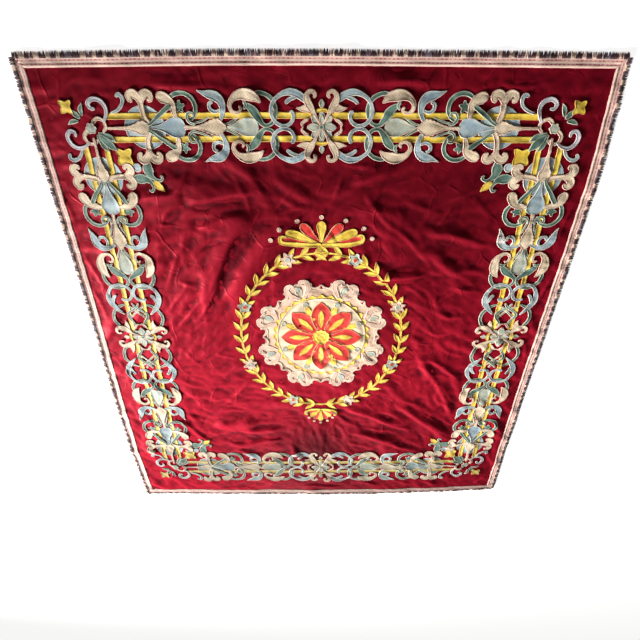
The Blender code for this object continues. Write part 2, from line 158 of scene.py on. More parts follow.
@dataclass(frozen=True)
class AppliqueFinish:
    """Dyed silk rep, couched down with a pale cord along its cut edge.

    Attributes:
        label: The material's name.
        slot: The record's material slot.
        fill: The dye's colour.
        worn: The colour where the dye has faded.
        cord: The colour of the couched cord.
        vein: How dark the stitched veins are, from 0 to 1.
        brocade: How strongly a woven figure shows, from 0 to 1.
        cord_mm: The cord's width.
        twist_mm: Between two turns of the cord's twist.
        rib_mm: Between two ribs of the rep.
        vein_mm: Between two stitched veins.
        vein_slant: How far the veins lean back, along over across.
        mottle: The colour of the stains that the dye has run into, or nothing.
        mottle_share: How strongly they show, from 0 to 1.
        bare_at: The middle of the one place where the silk is worn down to its pale lining, or nothing.
        bare_mm: How far that place reaches.
    """

    label: str
    slot: str
    fill: str
    worn: str
    cord: str
    vein: float = 0.0
    brocade: float = 0.0
    cord_mm: float = 3.6
    twist_mm: float = 3.2
    rib_mm: float = 2.2
    vein_mm: float = 9.0
    vein_slant: float = 1.3
    mottle: str = ""
    mottle_share: float = 0.0
    bare_at: tuple[float, float] | None = None
    bare_mm: float = 62.0

    def material(self) -> Material:
        """Builds the material: silk inside, cord along the rim with a painted shadow line inside it, dust on
        the fill along the bottom, and painted shade over both towards the lower left.
        """
        sheen = {"Sheen_Weight": 0.25, "Sheen_Roughness": 0.4}
        material, tree, shader = started(self.label, Roughness=0.62, Specular_IOR_Level=0.35, **sheen)
        place = add(tree, "TexCoord", take="Object")
        uv = add(tree, "UVMap", uv_map="cut")
        along = add(tree, "SeparateXYZ", {0: uv}, take="X")
        rim = add(tree, "Attribute", take="Fac", attribute_name="rim")
        colour = self.dyed(tree, place)
        if self.bare_at:
            colour = self.worn_bare(tree, place, colour)
        if self.brocade:
            colour = self.figured(tree, place, colour)
        if self.vein:
            colour = self.veined(tree, along, colour)

        # The cord lies on the outermost cord_mm, with a darker line of shadow on its inner side.
        edge = self.cord_mm * MM
        in_cord = add(tree, "MapRange", {0: rim, 1: edge, 2: edge + 0.5 * MM, 3: 1.0, 4: 0.0})
        shadow = add(tree, "MapRange", {0: rim, 1: edge + 0.3 * MM, 2: edge + 2.2 * MM, 3: 0.42, 4: 1.0})
        shaded = add(tree, "Mix", {0: 1.0, 6: colour, 7: shadow}, **SHADE)
        # Soil: the fill is dusty olive along the bottom border. All grows darker to the lower left, which is
        # painted shade where the lamps light the silk most.
        height = add(tree, "SeparateXYZ", {0: place}, take="Y")
        dust = add(tree, "MapRange", {0: height, 1: -0.70, 2: -0.80, 3: 0.0, 4: 0.56})
        dusty = add(tree, "Mix", {0: dust, 6: shaded, 7: "525a48"}, **BLEND)
        corded = add(tree, "Mix", {0: in_cord, 6: dusty, 7: self.cord}, **BLEND)
        # Painted shade: the silk is made darker towards the lower left, where the lamps light it most.
        corner = add(tree, "VectorMath", {0: place, 1: (0.7, 0.5, 0.0)}, operation="DOT_PRODUCT")
        painted_silk_shade = add(tree, "MapRange", {0: corner, 1: -0.9, 2: -0.1, 3: 0.62, 4: 1.0})
        with_painted_silk_shade = add(tree, "Mix", {0: 1.0, 6: corded, 7: painted_silk_shade}, **SHADE)
        tree.links.new(with_painted_silk_shade, shader.inputs["Base Color"])

        round_and_along = add(tree, "Math", {0: along, 1: rim}, operation="ADD")
        twist = add(tree, "Math", {0: round_and_along, 1: turns_per(self.twist_mm)}, operation="MULTIPLY")
        strands = add(tree, "Math", {0: twist}, operation="SINE")
        rep = {"Vector": place, "Scale": per(self.rib_mm) / WAVES, "Distortion": 1.2, "Detail": 2.0}
        ribs = add(tree, "TexWave", rep, take="Fac", bands_direction="DIAGONAL")
        relief = add(tree, "Mix", {0: in_cord, 2: ribs, 3: strands}, data_type="FLOAT")
        bump = add(tree, "Bump", {"Height": relief, "Strength": 0.35, "Distance": 0.6 * MM})
        tree.links.new(bump, shader.inputs["Normal"])
        return material

    def dyed(self, tree: NodeTree, place: NodeSocket) -> NodeSocket:
        """The dye's colour: faded in soft patches, and stained where there is a mottle."""
        fade = add(tree, "TexNoise", {"Vector": place, "Scale": per(29.41), "Detail": 5.0, "Roughness": 0.62})
        mask = add(tree, "MapRange", {0: fade, 1: 0.36, 2: 0.66})
        colour = add(tree, "Mix", {0: mask, 6: self.fill, 7: self.worn}, **BLEND)
        if not self.mottle:
            return colour
        stain = add(tree, "TexNoise", {"Vector": place, "Scale": per(16.39), "Detail": 4.0, "Roughness": 0.7})
        spread = add(tree, "MapRange", {0: stain, 1: 0.48, 2: 0.66, 4: self.mottle_share})
        return add(tree, "Mix", {0: spread, 6: colour, 7: self.mottle}, **BLEND)

    def worn_bare(self, tree: NodeTree, place: NodeSocket, colour: NodeSocket) -> NodeSocket:
        """The colour with one ragged place where the pale lining shows between dark threads."""
        middle = (*self.bare_at, 0.02)
        away = add(tree, "VectorMath", {0: place, 1: middle}, take="Value", operation="DISTANCE")
        rags = {"Vector": place, "Scale": per(14.29), "Detail": 5.0, "Roughness": 0.7}
        ragged = add(tree, "TexNoise", rags)
        torn = add(tree, "Math", {0: ragged, 1: 0.05, 2: away}, operation="MULTIPLY_ADD")
        inside, outside = self.bare_mm * MM, (self.bare_mm + 5) * MM
        bare = add(tree, "MapRange", {0: torn, 1: inside, 2: outside, 3: 1.0, 4: 0.0})
        threads = add(tree, "MapRange", {0: ragged, 1: 0.44, 2: 0.50})
        lining = add(tree, "Mix", {0: threads, 6: "4a3a3e", 7: "d2cac4"}, **BLEND)
        return add(tree, "Mix", {0: bare, 6: colour, 7: lining}, **BLEND)

    def figured(self, tree: NodeTree, place: NodeSocket, colour: NodeSocket) -> NodeSocket:
        """The colour with the pale outlines of a small woven figure."""
        cells = {"Vector": place, "Scale": per(10.526)}
        figure = add(tree, "TexVoronoi", cells, take="Distance", feature="DISTANCE_TO_EDGE")
        lines = add(tree, "MapRange", {0: figure, 1: 0.05, 2: 0.16, 3: 1.0, 4: 0.0})
        amount = add(tree, "Math", {0: lines, 1: self.brocade}, operation="MULTIPLY")
        return add(tree, "Mix", {0: amount, 6: colour, 7: "b9a878"}, **BLEND)

    def veined(self, tree: NodeTree, along: NodeSocket, colour: NodeSocket) -> NodeSocket:
        """The colour with stitched veins that slant back from the piece's middle line."""
        across = add(tree, "Math", {0: along.node.outputs["Y"]}, operation="ABSOLUTE")
        slant = add(tree, "Math", {0: across, 1: self.vein_slant}, operation="MULTIPLY")
        run = add(tree, "Math", {0: along, 1: slant}, operation="SUBTRACT")
        wave = add(tree, "Math", {0: run, 1: turns_per(self.vein_mm)}, operation="MULTIPLY")
        ridge = add(tree, "Math", {0: wave}, operation="SINE")
        stitch = add(tree, "MapRange", {0: ridge, 1: 0.72, 2: 0.96, 3: 0.0, 4: self.vein})
        return add(tree, "Mix", {0: stitch, 6: colour, 7: "8d7458"}, **BLEND)


SILKS: dict[Silk, AppliqueFinish] = {
    GOLD: AppliqueFinish(
        "gold_silk_rep", "gold_silk", "e6c034", "f3d65c", "d9a548",
        cord_mm=1.6, mottle="b8741f", mottle_share=0.36,
    ),
    CREAM: AppliqueFinish(
        "cream_silk_rep", "cream_silk", "dbc29f", "ead4b6", "e4bba6", vein=0.48, vein_mm=11.0, cord_mm=2.4
    ),
    BLUE: AppliqueFinish(
        "blue_silk_rep", "blue_silk", "89a2ae", "abbab9", "d8d3c4",
        vein=0.42, vein_mm=13.0, cord_mm=2.6, bare_at=(0.705, 0.482),
    ),
    GREEN: AppliqueFinish(
        "green_silk_rep", "green_silk", "345c50", "648474", "bcc0aa", vein=0.30, vein_mm=13.0, cord_mm=2.8
    ),
    SCARLET: AppliqueFinish(
        "scarlet_silk_rep", "scarlet_silk", "cf1f1b", "df3728", "dcb67c",
        cord_mm=2.4, mottle="a3140f", mottle_share=0.3,
    ),
    SILVER: AppliqueFinish(
        "silver_blue_brocade", "silver_silk", "95a8aa", "bcc3b6", "dccfae", brocade=0.6, cord_mm=2.4
    ),
    ROSE: AppliqueFinish(
        "rose_beige_silk", "cream_silk", "cfa78c", "e2c1a6", "efd3c2", vein=0.2, vein_mm=22.0, cord_mm=3.2
    ),
    LILAC: AppliqueFinish("lilac_grey_silk", "cream_silk", "b3b2bd", "ccc8ca", "e1d6d0", cord_mm=2.4),
}


def crimson_material() -> Material:
    """Crimson wool satin: soft sheen, a fine twill and uneven dye, with painted shade in its folds, a painted
    highlight on their crests and painted shade in broad patches.
    """
    material, tree, shader = started(
        "crimson_wool_satin",
        Metallic=0.20,
        Roughness=0.52,
        Sheen_Weight=0.05,
        Sheen_Roughness=0.35,
        Sheen_Tint="c81c36",
        Specular_IOR_Level=0.04,
    )
    place = add(tree, "TexCoord", take="Object")
    broad = add(tree, "TexNoise", {"Vector": place, "Scale": per(312.5), "Detail": 4.0, "Roughness": 0.6})
    uneven = add(tree, "MapRange", {0: broad, 1: 0.34, 2: 0.70})
    dye = add(tree, "Mix", {0: uneven, 6: "8d0e22", 7: "a61629"}, **BLEND)
    spots = add(tree, "TexNoise", {"Vector": place, "Scale": per(21.74), "Detail": 6.0, "Roughness": 0.7})
    spotted = add(tree, "MapRange", {0: spots, 1: 0.5, 2: 0.78, 3: 0.0, 4: 0.35})
    mottled = add(tree, "Mix", {0: spotted, 6: dye, 7: "6d0c1b"}, **BLEND)
    # Painted shade and highlight: the colour is darkest down in the folds, where shade falls, and a painted
    # highlight makes it palest on their crests.
    hollow = add(tree, "Attribute", take="Fac", attribute_name="hollow")
    deep = add(tree, "MapRange", {0: hollow, 1: 0.05, 2: 1.0, 3: 0.0, 4: 0.72})
    crest = add(tree, "MapRange", {0: hollow, 1: -0.1, 2: -1.0, 3: 0.0, 4: 0.26})
    with_painted_crest_highlight = add(tree, "Mix", {0: crest, 6: mottled, 7: "b41c34"}, **BLEND)
    with_painted_fold_shade = add(tree, "Mix", {0: deep, 6: with_painted_crest_highlight, 7: "3a0510"}, **BLEND)
    # Painted shade: darker towards the upper right, where the lamps light the cloth less, and in soft
    # patches.
    aged = add(tree, "Attribute", take="Fac", attribute_name="aged")
    kept = add(tree, "Mix", {0: aged, 6: with_painted_fold_shade, 7: "48040f"}, **BLEND)
    tree.links.new(kept, shader.inputs["Base Color"])

    weave = {"Vector": place, "Scale": per(1.6) / WAVES, "Distortion": 0.8, "Detail": 1.0}
    twill = add(tree, "TexWave", weave, take="Fac", bands_direction="DIAGONAL")
    crumple = add(tree, "TexNoise", {"Vector": place, "Scale": per(33.33), "Detail": 3.0, "Roughness": 0.5})
    fine = add(tree, "Bump", {"Height": twill, "Strength": 0.15, "Distance": 0.3 * MM})
    relief = add(tree, "Bump", {"Height": crumple, "Strength": 0.5, "Distance": 2 * MM, "Normal": fine})
    folds = fine_creases(tree, place)
    creased = add(tree, "Bump", {"Height": folds, "Strength": 1.0, "Distance": 0.85 * MM, "Normal": relief})
    tree.links.new(creased, shader.inputs["Normal"])
    return material


def fine_creases(tree: NodeTree, place: NodeSocket) -> NodeSocket:
    """Fine creases: the borders between distorted cells of two sizes, shown only here and there."""
    drift = add(tree, "TexNoise", {"Vector": place, "Scale": per(200), "Detail": 2.0}, take="Color")
    drifted = add(tree, "Mix", {0: 0.09, 4: place, 5: drift}, data_type="VECTOR", clamp_factor=False)
    sizes = []
    for cell_mm, line, shown_from in ((125.0, 0.055, 0.50), (52.63, 0.075, 0.53)):
        scale = per(cell_mm)
        cells = {"Vector": drifted, "Scale": scale}
        gap = add(tree, "TexVoronoi", cells, take="Distance", feature="DISTANCE_TO_EDGE")
        near = {0: gap, 1: 0.0, 2: line, 3: 1.0, 4: 0.0}
        border = add(tree, "MapRange", near, interpolation_type="SMOOTHERSTEP")
        where = add(tree, "TexNoise", {"Vector": place, "Scale": 0.9 * scale, "Detail": 1.0})
        shown = add(tree, "MapRange", {0: where, 1: shown_from, 2: shown_from + 0.12})
        drawn = add(tree, "Math", {0: border, 1: shown}, operation="MULTIPLY")
        sizes.append(add(tree, "Math", {0: drawn, 1: 9.0 / scale}, operation="MULTIPLY"))
    return add(tree, "Math", {0: sizes[0], 1: sizes[1]})


def galloon_material() -> Material:
    """Rose and cream silk galloon: three stripes along it, with dark picks on each side of the middle one."""
    material, tree, shader = started("rose_galloon_weave", Roughness=0.7, Sheen_Weight=0.2)
    place = add(tree, "TexCoord", take="Object")
    uv = add(tree, "UVMap", uv_map="cut")
    along = add(tree, "SeparateXYZ", {0: uv}, take="X")
    stripes = add(tree, "Math", {0: along.node.outputs["Y"], 1: turns_per(11.0)}, operation="MULTIPLY")
    stripe_wave = add(tree, "Math", {0: stripes}, operation="COSINE")
    cream = add(tree, "MapRange", {0: stripe_wave, 1: -0.7, 2: 0.3, 3: 1.0, 4: 0.0})
    wear = add(tree, "TexNoise", {"Vector": place, "Scale": per(26.32), "Detail": 4.0, "Roughness": 0.65})
    worn = add(tree, "MapRange", {0: wear, 1: 0.38, 2: 0.62})
    rose = add(tree, "Mix", {0: worn, 6: "c9807f", 7: "dfa79b"}, **BLEND)
    base = add(tree, "Mix", {0: cream, 6: rose, 7: "efd2bb"}, **BLEND)
    picks = add(tree, "Math", {0: along, 1: turns_per(14.0)}, operation="MULTIPLY")
    pick_wave = add(tree, "Math", {0: picks}, operation="SINE")
    pick_mask = add(tree, "MapRange", {0: pick_wave, 1: 0.15, 2: 0.5})
    row_mask = add(tree, "MapRange", {0: stripe_wave, 1: 0.35, 2: 0.75})
    dark = add(tree, "Math", {0: pick_mask, 1: row_mask}, operation="MULTIPLY")
    faint = add(tree, "MapRange", {0: wear, 1: 0.42, 2: 0.60, 3: 0.9, 4: 0.4})
    shown = add(tree, "Math", {0: dark, 1: faint}, operation="MULTIPLY")
    ticked = add(tree, "Mix", {0: shown, 6: base, 7: "623642"}, **BLEND)
    # It is darker along the bottom edge.
    height = add(tree, "SeparateXYZ", {0: place}, take="Y")
    bottom_darkening = add(tree, "MapRange", {0: height, 1: -0.95, 2: -1.03, 3: 1.0, 4: 0.55})
    darker_at_bottom = add(tree, "Mix", {0: 1.0, 6: ticked, 7: bottom_darkening}, **SHADE)
    tree.links.new(darker_at_bottom, shader.inputs["Base Color"])
    weft = add(tree, "Math", {0: along, 1: turns_per(2.4)}, operation="MULTIPLY")
    weft_wave = add(tree, "Math", {0: weft}, operation="SINE")
    bump = add(tree, "Bump", {"Height": weft_wave, "Strength": 0.4, "Distance": 0.5 * MM})
    tree.links.new(bump, shader.inputs["Normal"])
    return material


def fringe_material() -> Material:
    """Cut silk fringe in blocks of dark plum between cream and slate."""
    material, tree, shader = started("block_fringe_silk", Roughness=0.75, Sheen_Weight=0.3)
    tone = add(tree, "Attribute", take="Fac", attribute_name="tone")
    block = add(tree, "ValToRGB", {0: tone})
    ramp = block.node.color_ramp
    ramp.interpolation = "CONSTANT"
    ramp.elements[0].color = linear("471521")
    ramp.elements[1].position = 0.2
    ramp.elements[1].color = linear("d6b8a2")
    for position, colour in ((0.4, "c79c92"), (0.6, "75646f"), (0.85, "8e3440")):
        ramp.elements.new(position).color = linear(colour)
    place = add(tree, "TexCoord", take="Object")
    fade = add(tree, "TexNoise", {"Vector": place, "Scale": per(11.11), "Detail": 3.0})
    shade = add(tree, "MapRange", {0: fade, 1: 0.35, 2: 0.65, 3: 0.7, 4: 1.1})
    dyed = add(tree, "Mix", {0: 1.0, 6: block, 7: shade}, **SHADE)
    tree.links.new(dyed, shader.inputs["Base Color"])
    return material


# ---------------------------------------------------------------- the laid surface


def run_along(line: Array) -> Array:
    """Distance along a line at each of its points, which is never the same at two of them."""
    gaps = np.maximum(np.linalg.norm(np.diff(line, axis=0), axis=1), 1e-9)
    return np.concatenate([[0.0], np.cumsum(gaps)])


def smooth_line(rows: Array, parts: int = 14) -> Array:
    """A smooth curve through rows of values.

    Between two rows it is the cubic whose slopes at the rows come from their neighbours, with the
    distance between the rows' points as its parameter.

    Args:
        rows: One row for each point, the first two columns being its place.
        parts: Points made for each stretch.

    Returns:
        The denser rows.
    """
    place = run_along(rows[:, :2])
    gaps = np.diff(place)
    slopes = np.gradient(rows, place, axis=0)
    share = np.linspace(0, 1, parts, endpoint=False)[:, None]
    h00, h10 = 2 * share**3 - 3 * share**2 + 1, share**3 - 2 * share**2 + share
    h01, h11 = -2 * share**3 + 3 * share**2, share**3 - share**2
    stretches = [
        h00 * rows[k] + h10 * gaps[k] * slopes[k] + h01 * rows[k + 1] + h11 * gaps[k] * slopes[k + 1]
        for k in range(len(rows) - 1)
    ]
    return np.vstack([*stretches, rows[-1:]])


@dataclass(frozen=True)
class Swell:
    """A broad, soft rise in the cloth.

    Attributes:
        x, y: Its middle.
        heading: Its direction in degrees from +X.
        length: The whole length.
        width: From the crest to the foot.
        height: Of the crest.
    """

    x: float
    y: float
    heading: float
    length: float
    width: float
    height: float

    def rise(self, x: Array, y: Array) -> Array:
        """Its height: (1 - place along squared) squared, times a squared cosine across."""
        turn = math.radians(self.heading)
        away_x, away_y = x - self.x, y - self.y
        along = (away_x * math.cos(turn) + away_y * math.sin(turn)) / (self.length / 2)
        across = (away_y * math.cos(turn) - away_x * math.sin(turn)) / self.width
        run = np.clip(1 - along**2, 0, 1) ** 2
        return self.height * run * np.cos(np.pi / 2 * np.clip(across, -1, 1)) ** 2


@dataclass(frozen=True)
class Crease:
    """A ridge along a curved crest, or a trough where its height is negative.

    Attributes:
        line_mm: Points of the crest.
        left_mm: From the crest to the foot, on the left hand of the line's direction.
        right_mm: The same on the right hand.
        height_mm: Of the crest.
        crisp: 0 for a round crest, 1 for a pointed one.
        fade: The share of the line over which each end dies away.
    """

    line_mm: tuple[tuple[float, float], ...]
    left_mm: float
    right_mm: float
    height_mm: float
    crisp: float = 0.45
    fade: float = 0.38

    def add_to(self, relief: Array, low: Array, step: float) -> None:
        """Adds the crease to a height map, only where it reaches.

        Each point of the map finds the nearest place of the crest. With s the distance across over
        the foot's distance, the section is a mix of (1 + cos(pi s)) / 2 and (1 - s) squared.

        Args:
            relief: The height map, rows along y and columns along x.
            low: Place of the map's first point.
            step: Of the map.
        """
        dense = smooth_line(np.asarray(self.line_mm, float) * MM, 10)
        reach = max(self.left_mm, self.right_mm) * MM
        first = np.maximum(np.floor((dense.min(axis=0) - reach - low) / step).astype(int), 0)
        last = np.ceil((dense.max(axis=0) + reach - low) / step).astype(int) + 1
        window = relief[first[1] : last[1], first[0] : last[0]]
        if not window.size:
            return
        x = low[0] + step * (first[0] + np.arange(window.shape[1]))
        y = low[1] + step * (first[1] + np.arange(window.shape[0]))
        place = np.stack(np.meshgrid(x, y), axis=-1)
        gap = place[:, :, None, :] - dense
        near = np.argmin((gap**2).sum(axis=-1), axis=-1)
        ahead = np.gradient(dense, axis=0)
        ahead /= np.linalg.norm(ahead, axis=1, keepdims=True)
        run = run_along(dense)
        away = np.take_along_axis(gap, near[..., None, None], axis=2)[:, :, 0]
        way = ahead[near]
        across = way[..., 0] * away[..., 1] - way[..., 1] * away[..., 0]
        along = (run[near] + (way * away).sum(axis=-1)) / run[-1]
        share = np.abs(across) / (np.where(across > 0, self.left_mm, self.right_mm) * MM)
        share = np.clip(share, 0, 1)
        end = np.clip(np.minimum(along, 1 - along) / self.fade, 0, 1)
        section = (1 - self.crisp) * (1 + np.cos(np.pi * share)) / 2 + self.crisp * (1 - share) ** 2
        window += self.height_mm * MM * end**2 * (3 - 2 * end) * section


SWELLS = (
    # upper left
    Swell(-0.46, 0.36, 58, 0.62, 0.090, 0.012),
    Swell(-0.29, 0.38, 58, 0.60, 0.085, 0.010),
    Swell(-0.36, 0.55, 9, 0.34, 0.080, 0.008),
    Swell(-0.36, 0.64, 4, 0.34, 0.080, 0.007),
    Swell(-0.58, 0.62, 20, 0.30, 0.080, 0.007),
    Swell(-0.25, 0.68, -50, 0.26, 0.075, 0.007),
    Swell(-0.58, 0.22, 48, 0.36, 0.080, 0.006),
    # upper right
    Swell(0.29, 0.49, -45, 0.56, 0.085, 0.012),
    Swell(0.54, 0.46, -12, 0.34, 0.080, 0.009),
    Swell(0.54, 0.64, 25, 0.28, 0.080, 0.006),
    Swell(0.19, 0.70, 30, 0.28, 0.080, 0.007),
    Swell(0.54, 0.32, -25, 0.34, 0.080, 0.009),
    Swell(0.36, 0.30, 5, 0.30, 0.080, 0.010),
    Swell(0.42, 0.16, -45, 0.34, 0.080, 0.007),
    # right
    Swell(0.56, -0.16, -28, 0.30, 0.080, 0.008),
    Swell(0.59, -0.29, -60, 0.46, 0.085, 0.010),
    # lower right
    Swell(0.29, -0.49, -25, 0.44, 0.090, 0.011),
    Swell(0.50, -0.49, -40, 0.44, 0.090, 0.015),
    Swell(0.33, -0.66, -22, 0.48, 0.085, 0.012),
    # lower left
    Swell(-0.42, -0.52, 3, 0.34, 0.085, 0.014),
    Swell(-0.66, -0.57, -52, 0.34, 0.080, 0.009),
    Swell(-0.34, -0.67, 3, 0.40, 0.080, 0.009),
    Swell(-0.30, -0.57, 1, 0.30, 0.080, 0.008),
    # middle of the lower field
    Swell(-0.02, -0.64, -82, 0.24, 0.080, 0.005),
    # across the border, out to the edges
    Swell(-0.87, -0.72, -38, 0.36, 0.080, 0.010),
    Swell(0.05, -1.01, -6, 0.40, 0.085, 0.007),
    Swell(0.89, -0.54, -50, 0.34, 0.080, 0.009),
)

